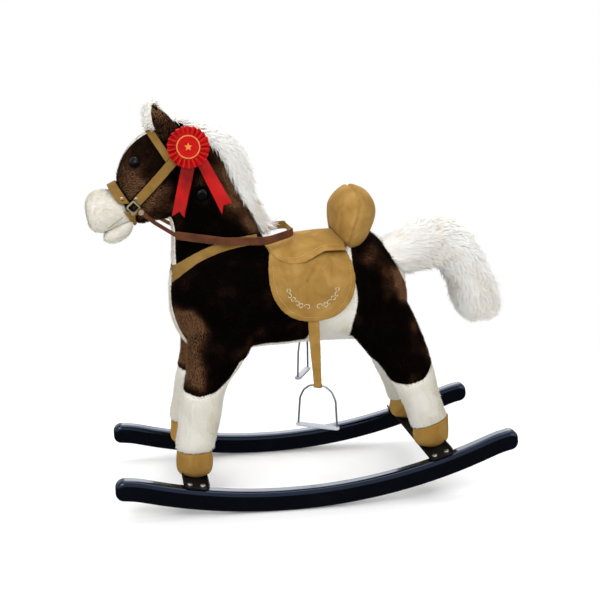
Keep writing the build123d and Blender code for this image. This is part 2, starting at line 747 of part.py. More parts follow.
# Rosette with two swallow-tailed ribbons
rosette_plane = Plane(origin=rosette_centre, x_dir=(1, 0, 0.0), z_dir=rosette_facing)
pleat_points = []
for i in range(2 * rosette_pleats):
    reach = rosette_radius if i % 2 == 0 else rosette_radius - rosette_pleat_depth
    pleat_points.append((reach, 180 * i / rosette_pleats))
pleat_corners = [
    (r * math.cos(math.radians(t)), r * math.sin(math.radians(t))) for r, t in pleat_points
]
ruffle = extrude(make_face(Polyline(*pleat_corners, close=True)), amount=rosette_depth, taper=12)
ruffle -= extrude(Circle(rosette_disc_radius + fit_gap), amount=rosette_depth)
ruffle_back = extrude(Circle(rosette_disc_radius + 4), amount=-1.5)
rosette_ruffle = rosette_plane * (ruffle + ruffle_back)
disc = extrude(Circle(rosette_disc_radius), amount=rosette_disc_depth)
disc = fillet(disc.edges().sort_by(Axis.Z)[-1], 1.5)
dish = Pos(0, 0, rosette_disc_depth) * Cylinder(rosette_disc_radius - rosette_rim, 2.4)
rosette_disc = rosette_plane * (disc - dish)
pad = extrude(Circle(rosette_pad_radius), amount=-24)
rosette_pad = rosette_plane * Pos(0, 0, -1.5) * pad
rosette_pad = rosette_pad - head_form - neck_form - mane - browband - cheek_straps
ribbons = []
for corners in ribbon_outlines:
    ribbon = extrude(make_face(Polyline(*corners, close=True)), amount=ribbon_thickness)
    ribbon_plane = Plane(origin=(0, -ribbon_y, 0), x_dir=(1, 0, 0), z_dir=(0, -1, 0))
    ribbon = ribbon_plane * ribbon - rosette_ruffle - rosette_pad
    ribbons.append(ribbon.solids().sort_by(SortBy.VOLUME)[-1])

pieces = {
    "left_rocker": left_rocker,
    "right_rocker": right_rocker,
    "front_crossbar": front_crossbar,
    "rear_crossbar": rear_crossbar,
    "crossbar_screws": Compound(children=screws),
    "hoof_bolts": Compound(children=bolts),
    "hoof_washers": Compound(children=washers),
    "front_leg_frame": front_leg_frame,
    "rear_leg_frame": rear_leg_frame,
    "spine_board": spine_board,
    "spine_bolts": Compound(children=spine_bolts),
    "neck_post": neck_post,
    "sound_unit": sound_unit,
    "neck_button": neck_button,
    "body": body,
    "neck": neck,
    "head": head,
    "muzzle": muzzle,
    "lower_lip": lower_lip,
    "left_fore_leg": left_fore_leg,
    "right_fore_leg": mirrored(left_fore_leg),
    "left_hind_leg": left_hind_leg,
    "right_hind_leg": mirrored(left_hind_leg),
    "left_fore_hoof": left_fore_hoof,
    "right_fore_hoof": mirrored(left_fore_hoof),
    "left_hind_hoof": left_hind_hoof,
    "right_hind_hoof": mirrored(left_hind_hoof),
    "left_ear": left_ear,
    "right_ear": mirrored(left_ear),
    "eyes": Compound(children=[left_eye, mirrored(left_eye)]),
    "mane": mane,
    "forelock": forelock,
    "tail": tail,
    "saddle_seat": saddle_seat,
    "left_saddle_flap": left_saddle_flap,
    "right_saddle_flap": right_saddle_flap,
    "cantle": cantle,
    "strap_rivets": Compound(children=[left_rivet, mirrored(left_rivet)]),
    "left_stirrup_strap": left_stirrup[0],
    "left_stirrup_iron": left_stirrup[1],
    "left_stirrup_tread": left_stirrup[2],
    "right_stirrup_strap": right_stirrup[0],
    "right_stirrup_iron": right_stirrup[1],
    "right_stirrup_tread": right_stirrup[2],
    "noseband": noseband,
    "jaw_strap": jaw_strap,
    "cheek_straps": cheek_straps,
    "browband": browband,
    "bit_rings": Compound(children=[left_ring, mirrored(left_ring)]),
    "bridle_rivets": Compound(children=left_beads + [mirrored(bead) for bead in left_beads]),
    "reins": reins,
    "rein_studs": Compound(children=[left_stud, mirrored(left_stud)]),
    "breast_collar": breast_collar,
    "rosette_ruffle": rosette_ruffle,
    "rosette_disc": rosette_disc,
    "rosette_pad": rosette_pad,
    "rosette_ribbons": Compound(children=ribbons),
}
for name, shape in pieces.items():
    save(name, shape)
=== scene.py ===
import math

import bmesh
import bpy
import numpy as np
from bpy.props import FloatProperty, FloatVectorProperty, IntProperty, PointerProperty
from mathutils import Matrix, Vector, noise
from mathutils.bvhtree import BVHTree


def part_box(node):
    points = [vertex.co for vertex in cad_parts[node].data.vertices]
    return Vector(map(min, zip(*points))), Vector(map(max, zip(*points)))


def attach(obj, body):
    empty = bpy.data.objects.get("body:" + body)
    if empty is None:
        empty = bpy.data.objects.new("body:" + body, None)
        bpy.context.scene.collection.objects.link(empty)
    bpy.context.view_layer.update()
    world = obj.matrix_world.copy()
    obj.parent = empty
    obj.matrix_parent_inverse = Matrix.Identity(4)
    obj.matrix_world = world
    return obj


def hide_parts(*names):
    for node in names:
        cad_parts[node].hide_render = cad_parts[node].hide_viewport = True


bl_info = {
    "name": "Plush Rocking Horse",
    "version": (1, 0, 0),
    "blender": (4, 5, 0),
    "location": "View3D > Sidebar > Horse",
    "description": "Dresses the rocking horse: pinto plush, mane and tail, suede tack, rosette and lacquered rockers",
    "category": "Object",
}

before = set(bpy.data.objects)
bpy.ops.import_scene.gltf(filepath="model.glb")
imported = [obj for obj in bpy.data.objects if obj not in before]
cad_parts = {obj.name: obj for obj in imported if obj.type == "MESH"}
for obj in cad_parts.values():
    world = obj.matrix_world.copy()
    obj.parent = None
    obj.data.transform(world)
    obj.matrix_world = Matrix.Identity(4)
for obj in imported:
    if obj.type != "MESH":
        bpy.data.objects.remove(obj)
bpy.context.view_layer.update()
MM = 0.001

STUFFED = ["body", "neck", "head", "left_fore_leg", "right_fore_leg", "left_hind_leg", "right_hind_leg"]
INSIDE = ["spine_board", "front_leg_frame", "rear_leg_frame", "neck_post", "sound_unit", "spine_bolts"]
HOOVES = ["left_fore_hoof", "right_fore_hoof", "left_hind_hoof", "right_hind_hoof"]
BANDS = ["noseband", "jaw_strap", "cheek_straps", "browband", "breast_collar"]
HARD_BITS = ["eyes", "neck_button", "bit_rings", "bridle_rivets", "rein_studs"]
SIDES = {"left": -1, "right": 1}

# Sewn lines on the horse's sides, as (x, z) points in millimetres.
SEAT_HEM = [(-70, 445), (-64, 434), (-53, 423), (-37, 419), (-20, 420), (0, 427), (22, 436), (44, 438), (56, 437)]
FLAP_RIM = [
    (-64, 408), (-65, 384), (-57, 358), (-39, 335), (-16, 324), (8, 323), (34, 330), (53, 346), (65, 376), (67, 402),
]
# Along the mouth line go dark stitches that are painted shadow for the gap between muzzle and lower lip.
MOUTH_LINE = [(-331, 471.5), (-326, 476), (-321, 480), (-316, 483), (-311, 486.5), (-307, 490.5)]
# The cantle's seam as heights and the x at each of them, in millimetres.
CANTLE_SEAM = ([425, 445, 466, 480, 492, 506, 520, 530, 538], [68, 71, 75, 81, 85, 87, 86, 83, 78])
# Creases of a saddle flap: start, end and depth in millimetres.
FLAP_CREASES = [
    ((-50, 414), (-40, 372), 1.7), ((14, 412), (-8, 384), 1.9),
    ((-8, 384), (-8, 350), 1.6), ((40, 412), (33, 380), 1.5),
]
# Sprigs of the flap's embroidery: x and z in millimetres, turn in radians and size.
FLAP_SPRIGS = [(16, 343, 0.3, 1.0), (31, 352, 0.9, 0.9), (41, 366, 1.5, 0.8)]
# Ribbon tails, in (x, z) millimetres: both top corners, an end corner, the notch and the other end corner.
RIBBON_TAILS = {
    "front": [(-207, 588), (-185, 588), (-228, 492), (-215, 500), (-207, 489)],
    "rear": [(-190, 588), (-170, 588), (-145, 493), (-143, 509), (-128, 512)],
}
# Spots of painted sheen, where the brown nap is coloured lighter as light grazes it: x, z and reach in millimetres, and
# how far.
PAINTED_SHEEN_SPOTS = [
    (-292, 546, 40, 0.2), (-268, 512, 40, 0.27), (-140, 565, 32, 0.28), (-116, 512, 30, 0.28), (-94, 470, 26, 0.22),
    (-214, 314, 23, 0.42), (-194, 306, 24, 0.28), (-212, 262, 20, 0.42), (-204, 234, 24, 0.3), (-190, 216, 20, 0.16),
    (162, 378, 17, 0.36), (171, 346, 18, 0.4), (181, 300, 16, 0.32), (140, 356, 20, 0.14), (100, 416, 34, 0.13),
    (206, 240, 20, 0.1), (-118, 276, 22, 0.13), (-60, 420, 26, 0.06), (-270, 574, 36, 0.1),
]
# Long pile: the line it is combed along, its length setting, its share of that length and how far locks stray.
COMBED = {
    "mane": ([(-222, 0, 650), (-170, 0, 610), (-130, 0, 560), (-95, 0, 510), (-47, 0, 462)], "mane", 1.0, 0.55),
    "forelock": ([(-240, 0, 690), (-262, 0, 650), (-285, 0, 615)], "mane", 0.8, 0.8),
    "tail": (
        [(146, 0, 434), (190, 0, 440), (240, 0, 440), (285, 0, 405), (318, 0, 345), (330, 0, 262)], "tail", 1.0, 0.55,
    ),
}
LOCKS_PER_CM2 = 28.0
# Widths of a lock and of a tuft, and how far a lock's root lies under the CAD surface, in millimetres.
LOCK_WIDTH = 1.3
PILE_WIDTH = 1.1
LOCK_SINK = 4.0
# What chance does to a tuft: its stray off the nap, its change of shade, its twist, and its shortest and longest
# share of the set length.
PILE_STRAY = 0.3
PILE_SPECK = 0.018
PILE_TWIST = 0.35
PILE_SHARES = (0.65, 1.2)
# The range of tones over which a pile's shades are shared out.
PILE_TONES = (0.36, 0.7)
# Square centimetres in a square metre.
PER_CM2 = 1e4
# Rosette: its centre in millimetres, the way it faces, its pleats and the points along each.
ROSETTE_CENTRE = (-198, -58, 604)
ROSETTE_FACING = (-0.08, -0.96, 0.22)
PLEATS = 22
PLEAT_STEPS = 12
# Satin, in millimetres: width of the gathered strip, flat size of a ribbon tail, and thickness.
SATIN_THICK = 0.5
CLOTH_FRAMES = 20
# Points closer than this are one, and no side of the horse is this far out, in metres.
MERGE = 1e-6
CLEAR_OF_SIDES = 0.4
# Soft lamps: place, size and power. They all point at the horse's middle.
LAMPS = {
    "key_softbox": ((-1.5, -2.0, 2.5), 1.8, 52.0),
    "fill_softbox": ((2.0, -2.2, 1.5), 2.0, 20.0),
    "top_softbox": ((0.3, 0.6, 2.8), 2.2, 42.0),
    "rear_softbox": ((0.6, 2.4, 1.8), 2.0, 34.0),
    "sparkle_lamp": ((-0.9, -1.9, 1.7), 0.22, 4.0),
}
LAMP_AIM = (0.0, 0.0, 0.3)


def linear(code):
    """Linear colour with full alpha from an sRGB hex value."""
    channels = [int(code[k:k + 2], 16) / 255 for k in (1, 3, 5)]
    return tuple(c / 12.92 if c <= 0.04045 else ((c + 0.055) / 1.055) ** 2.4 for c in channels) + (1.0,)


def colour(name, description, code):
    """A colour setting."""
    return FloatVectorProperty(
        name=name, description=description, subtype="COLOR", size=4, min=0.0, max=1.0, default=linear(code)
    )


def length(name, description, millimetres):
    """A length setting, given in millimetres."""
    return FloatProperty(
        name=name, description=description, subtype="DISTANCE", unit="LENGTH", min=0.0, default=millimetres * MM
    )


class PlushLook(bpy.types.PropertyGroup):
    """Colours and pile of the stuffed coat, mane and tail."""

    brown_deep: colour("Deep brown", "Brown plush where the nap is crushed flat", "#040201")
    brown_dark: colour("Dark brown", "Brown plush, the common shade", "#080302")
    brown_mid: colour("Mid brown", "Brown plush between dark and warm", "#150b06")
    brown_warm: colour("Warm brown", "Brown plush where the nap catches light", "#24150c")
    # Light, pale and fawn are painted sheen: lighter shades of the pile, set where light grazes it on head, crest,
    # chest and rump.
    painted_sheen_brown: colour("Light brown", "Brown plush brushed up", "#3b2517")
    painted_sheen_pale: colour("Pale brown", "Brushed-up tips of the brown plush", "#4d3422")
    painted_sheen_fawn: colour("Fawn", "Worn tips of the brown plush on the chest and rump", "#694b33")
    brown_sheen: colour("Brown sheen", "Colour of the pile's flanks, seen where it is looked along", "#8a5128")
    white_clean: colour("White", "White plush, the common shade", "#dfdcd4")
    white_soft: colour("Soft white", "White plush a little in shade", "#d7d3c6")
    white_cream: colour("Cream", "Creamy depths of the white plush", "#cdc6b5")
    lock_clean: colour("White locks", "Long pile, the common shade", "#fffefb")
    lock_soft: colour("Soft white locks", "Long pile a little in shade", "#fbf9f4")
    lock_cream: colour("Cream locks", "Creamy depths of the long pile", "#f5f1e8")
    pile: length("Pile", "Length of the short pile", 5.0)
    pile_per_cm2: FloatProperty(name="Pile density", description="Pile tufts in a square centimetre", default=32.0)
    mane: length("Mane", "Length of the mane and forelock locks", 16.0)
    tail: length("Tail", "Length of the tail locks", 16.0)
    seed: IntProperty(name="Seed", description="Seed of the pile's scatter", default=7)


class TackLook(bpy.types.PropertyGroup):
    """Colours of saddle, bridle, reins and rosette."""

    suede: colour("Suede", "Faux suede, the common shade", "#937035")
    suede_dark: colour("Dark suede", "Faux suede brushed against the nap", "#86632b")
    suede_light: colour("Light suede", "Faux suede brushed with the nap", "#a27f45")
    leather: colour("Leather", "Face of the reins", "#5a3018")
    leather_dark: colour("Dark leather", "Creases of the reins", "#45220f")
    thread: colour("Thread", "Sewing and embroidery thread", "#d0c6ae")
    satin: colour("Satin", "Satin of the rosette", "#b80a06")
    # Dark satin is painted shade in the satin's folds; the felt also takes it for its darker fibres.
    satin_dark: colour("Dark satin", "Folds of the rosette's satin", "#950504")
    gold: colour("Gold thread", "Ring and star on the rosette", "#d67a18")
    stitch: length("Stitch", "Length of a stitch and its gap", 4.2)


class BaseLook(bpy.types.PropertyGroup):
    """Colours of the rockers, the steel and the plastic."""

    lacquer: colour("Lacquer", "Black gloss lacquer on the rockers", "#040509")
    black_steel: colour("Black steel", "Powder coat on the crossbars", "#0b0b0d")
    zinc: colour("Zinc", "Zinc-plated screws, bolts and washers", "#a9abad")
    steel: colour("Bright steel", "Plated stirrups", "#a8abae")
    nickel: colour("Warm nickel", "Plated rings, rivets and studs of the bridle", "#d2c4a2")
    grey_plastic: colour("Grey plastic", "Stirrup treads", "#b4b7bf")
    black_plastic: colour("Black plastic", "Eyes, button and sound unit", "#08080a")
    plywood: colour("Plywood", "Board inside the body", "#c49a62")


class StageLook(bpy.types.PropertyGroup):
    """Floor, light and camera."""

    floor: colour("Floor", "Pale studio floor", "#f6f6f6")
    eye: FloatVectorProperty(
        name="Camera", description="Where the camera stands", subtype="TRANSLATION", size=3,
        default=(-0.3287, -1.8047, 0.7415),
    )
    azimuth: FloatProperty(
        name="Azimuth", description="Camera heading", subtype="ANGLE", default=math.radians(10.2125)
    )
    elevation: FloatProperty(
        name="Elevation", description="Camera tilt", subtype="ANGLE", default=math.radians(12.6495)
    )
    lens: FloatProperty(name="Lens", description="Focal length on a 36 mm frame", unit="CAMERA", default=64.02)
    ambient: FloatProperty(name="Ambient", description="Level of the light from all round", default=0.65)


def per_metre(millimetres):
    """Scale of a pattern whose marks lie this far apart."""
    return 1000.0 / millimetres


def toned(shade, share):
    """A colour made darker or lighter by a share, with full alpha."""
    return tuple(min(1.0, c * share) for c in shade[:3]) + (1.0,)


def add_node(tree, kind, settings=None, inputs=None, feeds=None):
    """Add a node: settings are its properties or a ramp's stops, inputs are values or sockets, feeds an input."""
    made = tree.nodes.new(kind)
    settings = dict(settings or {})
    stops = settings.pop("stops", ())
    for key, value in settings.items():
        setattr(made, key, value)
    for key, value in (inputs or {}).items():
        if isinstance(value, bpy.types.NodeSocket):
            tree.links.new(value, made.inputs[key])
        else:
            made.inputs[key].default_value = value
    for _ in stops[2:]:
        made.color_ramp.elements.new(0.5)
    for number, (position, shade) in enumerate(stops):
        element = made.color_ramp.elements[number]
        element.position = position
        element.color = shade
    if feeds is not None:
        tree.links.new(made.outputs[0], feeds)
    return made


def start_material(name, **sockets):
    """A new material whose shader has the given constant sockets."""
    material = bpy.data.materials.new(name)
    material.use_nodes = True
    shader = material.node_tree.nodes["Principled BSDF"]
    for key, value in sockets.items():
        shader.inputs[key.replace("_", " ")].default_value = value
    return material, material.node_tree, shader


def finish_shader(tree, shader, tone, stops, relief=None, strength=0.0, depth=0.0):
    """Colour a shader by stops over one pattern, and raise it by another, to a depth in millimetres."""
    add_node(tree, "ShaderNodeValToRGB", {"stops": stops}, {"Fac": tone}, feeds=shader.inputs["Base Color"])
    if relief is not None:
        add_node(
            tree, "ShaderNodeBump", inputs={"Height": relief, "Strength": strength, "Distance": depth * MM},
            feeds=shader.inputs["Normal"],
        )


def pinto_plush(look):
    """Cut acrylic plush: a brown, crushed nap that mottles in 40 mm patches, and white beyond the sewn edge."""
    material, tree, shader = start_material(
        "pinto_plush_backing", Roughness=0.95, Sheen_Weight=0.3, Sheen_Roughness=0.35, Specular_IOR_Level=0.05,
        Sheen_Tint=look.brown_sheen,
    )
    place = add_node(tree, "ShaderNodeTexCoord").outputs["Object"]
    crush = add_node(tree, "ShaderNodeTexNoise", inputs={
        "Vector": place, "Scale": per_metre(41.7), "Detail": 3.0, "Roughness": 0.6,
    }).outputs["Fac"]
    # The backing's own nap is under a millimetre, and is drawn at 2.4 mm so that it shows.
    nap = add_node(tree, "ShaderNodeTexNoise", inputs={
        "Vector": place, "Scale": per_metre(2.38), "Detail": 2.0,
    }).outputs["Fac"]
    brown = add_node(tree, "ShaderNodeValToRGB", {
        "stops": [(0.4, look.brown_deep), (0.55, look.brown_dark), (0.7, look.brown_mid)],
    }, {"Fac": crush}).outputs["Color"]
    white = add_node(tree, "ShaderNodeValToRGB", {
        "stops": [(0.35, look.white_soft), (0.6, look.white_clean)],
    }, {"Fac": crush}).outputs["Color"]
    edge = add_node(tree, "ShaderNodeAttribute", {"attribute_name": "white_edge"}).outputs["Fac"]
    frayed = add_node(tree, "ShaderNodeMath", {"operation": "MULTIPLY_ADD"}, {0: nap, 1: 4.0, 2: edge}).outputs[0]
    mask = add_node(
        tree, "ShaderNodeMapRange", inputs={"Value": frayed, "From Min": 1.2, "From Max": 2.8}
    ).outputs[0]
    coat = add_node(tree, "ShaderNodeMix", {"data_type": "RGBA"}, {0: mask, 6: brown, 7: white}).outputs[2]
    tree.links.new(coat, shader.inputs["Base Color"])
    add_node(
        tree, "ShaderNodeBump", inputs={"Height": nap, "Strength": 0.5, "Distance": 1.2 * MM},
        feeds=shader.inputs["Normal"],
    )
    return material


def white_plush(name, cream, soft, clean):
    """White acrylic plush, brushed: soft shade in 30 mm patches over a fine nap."""
    material, tree, shader = start_material(
        name, Roughness=0.95, Sheen_Weight=0.2, Sheen_Roughness=0.5, Specular_IOR_Level=0.1
    )
    place = add_node(tree, "ShaderNodeTexCoord").outputs["Object"]
    patch = add_node(tree, "ShaderNodeTexNoise", inputs={
        "Vector": place, "Scale": per_metre(29.4), "Detail": 3.0,
    }).outputs["Fac"]
    # The real nap is under a millimetre, and is drawn at 2 mm so that it shows.
    nap = add_node(tree, "ShaderNodeTexNoise", inputs={
        "Vector": place, "Scale": per_metre(2.0), "Detail": 2.0,
    }).outputs["Fac"]
    finish_shader(tree, shader, patch, [(0.3, cream), (0.5, soft), (0.68, clean)], nap, strength=0.5, depth=1.0)
    return material


def pile_shades(name, sheen, weight, *shades):
    """Plain shades of one dyed pile, dark where it is looked into and sheened where it is looked along."""
    made = []
    for number, shade in enumerate(shades):
        brushed = weight * (0.35 + 0.65 * number / (len(shades) - 1))
        made.append(start_material(
            f"{name}_{number}", Base_Color=shade, Roughness=0.9, Specular_IOR_Level=0.02,
            Sheen_Weight=brushed, Sheen_Roughness=0.32, Sheen_Tint=sheen,
        )[0])
    return made


def suede(look, name, dye):
    """Faux suede: a brushed nap with finger marks about 35 mm across, and no gloss."""
    dark, common, light = (toned(shade, dye) for shade in (look.suede_dark, look.suede, look.suede_light))
    material, tree, shader = start_material(
        name, Roughness=0.92, Specular_IOR_Level=0.2, Sheen_Weight=0.2, Sheen_Roughness=0.5, Sheen_Tint=light
    )
    place = add_node(tree, "ShaderNodeTexCoord").outputs["Object"]
    marks = add_node(tree, "ShaderNodeTexNoise", inputs={
        "Vector": place, "Scale": per_metre(33.3), "Detail": 4.0, "Distortion": 0.6,
    }).outputs["Fac"]
    # The real nap is finer, and is drawn at 1.25 mm so that it shows.
    nap = add_node(tree, "ShaderNodeTexNoise", inputs={
        "Vector": place, "Scale": per_metre(1.25), "Detail": 2.0,
    }).outputs["Fac"]
    blend = add_node(tree, "ShaderNodeMath", {"operation": "MULTIPLY_ADD"}, {0: nap, 1: 0.25, 2: marks}).outputs[0]
    finish_shader(tree, shader, blend, [(0.42, dark), (0.62, common), (0.82, light)], nap, strength=0.35, depth=0.5)
    return material


def rein_leather(look):
    """Bonded leather: a pebbled 1.5 mm grain with a dull shine, darker in random patches about 22 mm across."""
    material, tree, shader = start_material("brown_bonded_leather", Roughness=0.6, Specular_IOR_Level=0.18)
    place = add_node(tree, "ShaderNodeTexCoord").outputs["Object"]
    grain = add_node(tree, "ShaderNodeTexVoronoi", {"feature": "DISTANCE_TO_EDGE"}, {
        "Vector": place, "Scale": per_metre(1.54),
    }).outputs["Distance"]
    wear = add_node(tree, "ShaderNodeTexNoise", inputs={
        "Vector": place, "Scale": per_metre(22.2), "Detail": 4.0,
    }).outputs["Fac"]
    finish_shader(tree, shader, wear, [(0.35, look.leather_dark), (0.6, look.leather)], grain, strength=0.3, depth=0.3)
    return material


def thread(name, shade):
    """Twisted rayon thread: a soft shine, with its twist drawn at 2.5 mm so that it shows."""
    material, tree, shader = start_material(name, Roughness=0.45, Sheen_Weight=0.3, Specular_IOR_Level=0.4)
    place = add_node(tree, "ShaderNodeTexCoord").outputs["Object"]
    twist = add_node(tree, "ShaderNodeTexWave", {"bands_direction": "DIAGONAL"}, {
        "Vector": place, "Scale": per_metre(2.5),
    }).outputs["Fac"]
    finish_shader(tree, shader, twist, [(0.2, toned(shade, 0.7)), (0.6, shade)])
    return material


def satin(look, name, depth, fold):
    """Woven polyester satin: a bright, directional shine and painted shade for folds so many millimetres wide; a depth
    below one darkens it all as painted shade.
    """
    material, tree, shader = start_material(name, Roughness=0.4, Anisotropic=0.4, Specular_IOR_Level=0.2)
    place = add_node(tree, "ShaderNodeTexCoord").outputs["Object"]
    painted_fold_shade = add_node(tree, "ShaderNodeTexNoise", inputs={
        "Vector": place, "Scale": per_metre(fold), "Detail": 2.0,
    }).outputs["Fac"]
    # The real weave is finer, and is drawn at 2 mm so that it shows.
    weave = add_node(tree, "ShaderNodeTexWave", {"bands_direction": "Z"}, {
        "Vector": place, "Scale": per_metre(2.0), "Distortion": 1.0,
    }).outputs["Fac"]
    # Painted shade: the dark stop is the shade in the folds, and depth darkens both stops for satin that hangs in
    # shade.
    stops = [(0.3, toned(look.satin_dark, depth ** 3)), (0.6, toned(look.satin, depth))]
    finish_shader(tree, shader, painted_fold_shade, stops, weave, strength=0.15, depth=0.15)
    return material


def felt(look):
    """Pressed red felt: matt, with its fibres drawn 1.4 mm apart so that they show."""
    material, tree, shader = start_material("red_felt", Roughness=0.95, Specular_IOR_Level=0.1, Sheen_Weight=0.2)
    place = add_node(tree, "ShaderNodeTexCoord").outputs["Object"]
    fibre = add_node(tree, "ShaderNodeTexNoise", inputs={
        "Vector": place, "Scale": per_metre(1.43), "Detail": 3.0,
    }).outputs["Fac"]
    finish_shader(tree, shader, fibre, [(0.3, look.satin_dark), (0.65, look.satin)], fibre, strength=0.3, depth=0.4)
    return material


def lacquer(look):
    """Gloss lacquer on shaped wood: deep black with its shine tinted cool as painted bluish reflection, faint 6 mm
    grain and 45 mm handling scuffs.
    """
    # The bluish specular tint is painted light: it colours the reflections as a cool light would.
    material, tree, shader = start_material(
        "black_gloss_lacquer", Specular_IOR_Level=0.5, Specular_Tint=linear("#c4d7ff")
    )
    place = add_node(tree, "ShaderNodeTexCoord").outputs["Object"]
    along = add_node(tree, "ShaderNodeMapping", inputs={
        "Vector": place, "Scale": (per_metre(71.4), per_metre(6.25), per_metre(6.25)),
    }).outputs["Vector"]
    grain = add_node(tree, "ShaderNodeTexNoise", inputs={"Vector": along, "Scale": 1.0, "Detail": 4.0}).outputs["Fac"]
    scuff = add_node(tree, "ShaderNodeTexNoise", inputs={
        "Vector": place, "Scale": per_metre(45.5), "Detail": 6.0, "Roughness": 0.7,
    }).outputs["Fac"]
    stops = [(0.5, look.lacquer), (0.75, toned(look.lacquer, 1.6))]
    finish_shader(tree, shader, scuff, stops, grain, strength=0.08, depth=0.3)
    add_node(tree, "ShaderNodeMapRange", inputs={
        "Value": scuff, "From Min": 0.4, "From Max": 0.8, "To Min": 0.1, "To Max": 0.22,
    }, feeds=shader.inputs["Roughness"])
    return material


def powder_coat(look):
    """Black powder coat on bent sheet steel: satin, with a 1.4 mm orange-peel skin and rubbed 25 mm patches."""
    material, tree, shader = start_material("black_powder_coat", Specular_IOR_Level=0.1)
    place = add_node(tree, "ShaderNodeTexCoord").outputs["Object"]
    peel = add_node(tree, "ShaderNodeTexNoise", inputs={
        "Vector": place, "Scale": per_metre(1.43), "Detail": 2.0,
    }).outputs["Fac"]
    rub = add_node(tree, "ShaderNodeTexNoise", inputs={
        "Vector": place, "Scale": per_metre(25.0), "Detail": 5.0,
    }).outputs["Fac"]
    stops = [(0.5, look.black_steel), (0.75, linear("#151517"))]
    finish_shader(tree, shader, rub, stops, peel, strength=0.15, depth=0.2)
    add_node(
        tree, "ShaderNodeMapRange", inputs={"Value": rub, "To Min": 0.3, "To Max": 0.55},
        feeds=shader.inputs["Roughness"],
    )
    return material


def plated(name, shade, roughness):
    """Plated steel: bright, with 6 mm handling marks that break the shine."""
    material, tree, shader = start_material(name, Metallic=1.0)
    place = add_node(tree, "ShaderNodeTexCoord").outputs["Object"]
    marks = add_node(tree, "ShaderNodeTexNoise", inputs={
        "Vector": place, "Scale": per_metre(6.25), "Detail": 5.0,
    }).outputs["Fac"]
    finish_shader(tree, shader, marks, [(0.3, toned(shade, 0.75)), (0.6, shade)])
    add_node(
        tree, "ShaderNodeMapRange", inputs={"Value": marks, "To Min": roughness, "To Max": roughness + 0.2},
        feeds=shader.inputs["Roughness"],
    )
    return material


def moulded(name, shade, roughness, shine=0.5):
    """Moulded plastic: even colour, with its mould texture drawn at 1.7 mm so that it shows."""
    material, tree, shader = start_material(name, Roughness=roughness, Specular_IOR_Level=shine)
    place = add_node(tree, "ShaderNodeTexCoord").outputs["Object"]
    mould = add_node(tree, "ShaderNodeTexNoise", inputs={
        "Vector": place, "Scale": per_metre(1.67), "Detail": 2.0,
    }).outputs["Fac"]
    finish_shader(tree, shader, mould, [(0.35, toned(shade, 0.85)), (0.6, shade)], mould, strength=0.1, depth=0.1)
    return material


def plywood(look):
    """Birch plywood: long grain along the board, in streaks 83 mm long and 5.5 mm wide."""
    material, tree, shader = start_material("birch_plywood", Roughness=0.6)
    place = add_node(tree, "ShaderNodeTexCoord").outputs["Object"]
    along = add_node(tree, "ShaderNodeMapping", inputs={
        "Vector": place, "Scale": (per_metre(83.3), per_metre(5.56), per_metre(5.56)),
    }).outputs["Vector"]
    grain = add_node(tree, "ShaderNodeTexNoise", inputs={"Vector": along, "Scale": 1.0, "Detail": 5.0}).outputs["Fac"]
    finish_shader(tree, shader, grain, [(0.35, linear("#9a7440")), (0.65, look.plywood)])
    return material


def finish_nodes(material, slot, *nodes):
    """Give CAD nodes a finished material."""
    for node in nodes:
        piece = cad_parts[node]
        piece.data.materials.clear()
        piece.data.materials.append(material)


def new_piece(name, mesh, materials, body="horse", nodes=()):
    """Put a mesh in the scene as a piece that rides a body and stands for CAD nodes."""
    piece = bpy.data.objects.new(name, mesh)
    bpy.context.scene.collection.objects.link(piece)
    mesh.materials.clear()
    for material in materials:
        mesh.materials.append(material)
    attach(piece, body)
    if nodes:
        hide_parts(*nodes)
    return piece


def settle(piece):
    """Apply a piece's modifiers to its mesh."""
    graph = bpy.context.evaluated_depsgraph_get()
    mesh = bpy.data.meshes.new_from_object(
        piece.evaluated_get(graph), preserve_all_data_layers=True, depsgraph=graph
    )
    piece.modifiers.clear()
    piece.data = mesh


def mesh_from(bm, name, smooth=True):
    """Turn a bmesh into a mesh with smooth or flat faces."""
    for face in bm.faces:
        face.smooth = smooth
    mesh = bpy.data.meshes.new(name)
    bm.to_mesh(mesh)
    bm.free()
    return mesh


def grow_rim(bm, rim):
    """Extrude a row of edges in place, and give the new vertices and the new outer edges."""
    made = bmesh.ops.extrude_edge_only(bm, edges=rim)["geom"]
    verts = [part for part in made if isinstance(part, bmesh.types.BMVert)]
    edges = [part for part in made if isinstance(part, bmesh.types.BMEdge) and all(v in verts for v in part.verts)]
    return verts, edges


def thicken(piece):
    """Give a satin sheet its thickness, evenly on both faces."""
    thick = piece.modifiers.new("thickness", "SOLIDIFY")
    thick.thickness = SATIN_THICK * MM
    thick.offset = 0.0
    settle(piece)


def soft_form(name, nodes, materials, voxel, relax, body="horse", fill=(), outer=False):
    """An evenly meshed soft form from the merged CAD forms of some nodes, with their inside filled by others.

    The voxel is in millimetres, relax is the number of smoothing passes, and outer drops the shells inside.
    """
    bm = bmesh.new()
    for node in (*nodes, *fill):
        bm.from_mesh(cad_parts[node].data)
    bmesh.ops.remove_doubles(bm, verts=bm.verts, dist=MERGE)
    piece = new_piece(name, mesh_from(bm, name), materials, body, nodes)
    even = piece.modifiers.new("even_mesh", "REMESH")
    even.mode = "VOXEL"
    even.voxel_size = voxel * MM
    settle(piece)
    bm = bmesh.new()
    bm.from_mesh(piece.data)
    if outer:
        keep_outer(bm)
    for _ in range(relax):
        bmesh.ops.smooth_vert(bm, verts=bm.verts, factor=0.5, use_axis_x=True, use_axis_y=True, use_axis_z=True)
    for face in bm.faces:
        face.smooth = True
        face.material_index = 0
    bm.to_mesh(piece.data)
    bm.free()
    return piece


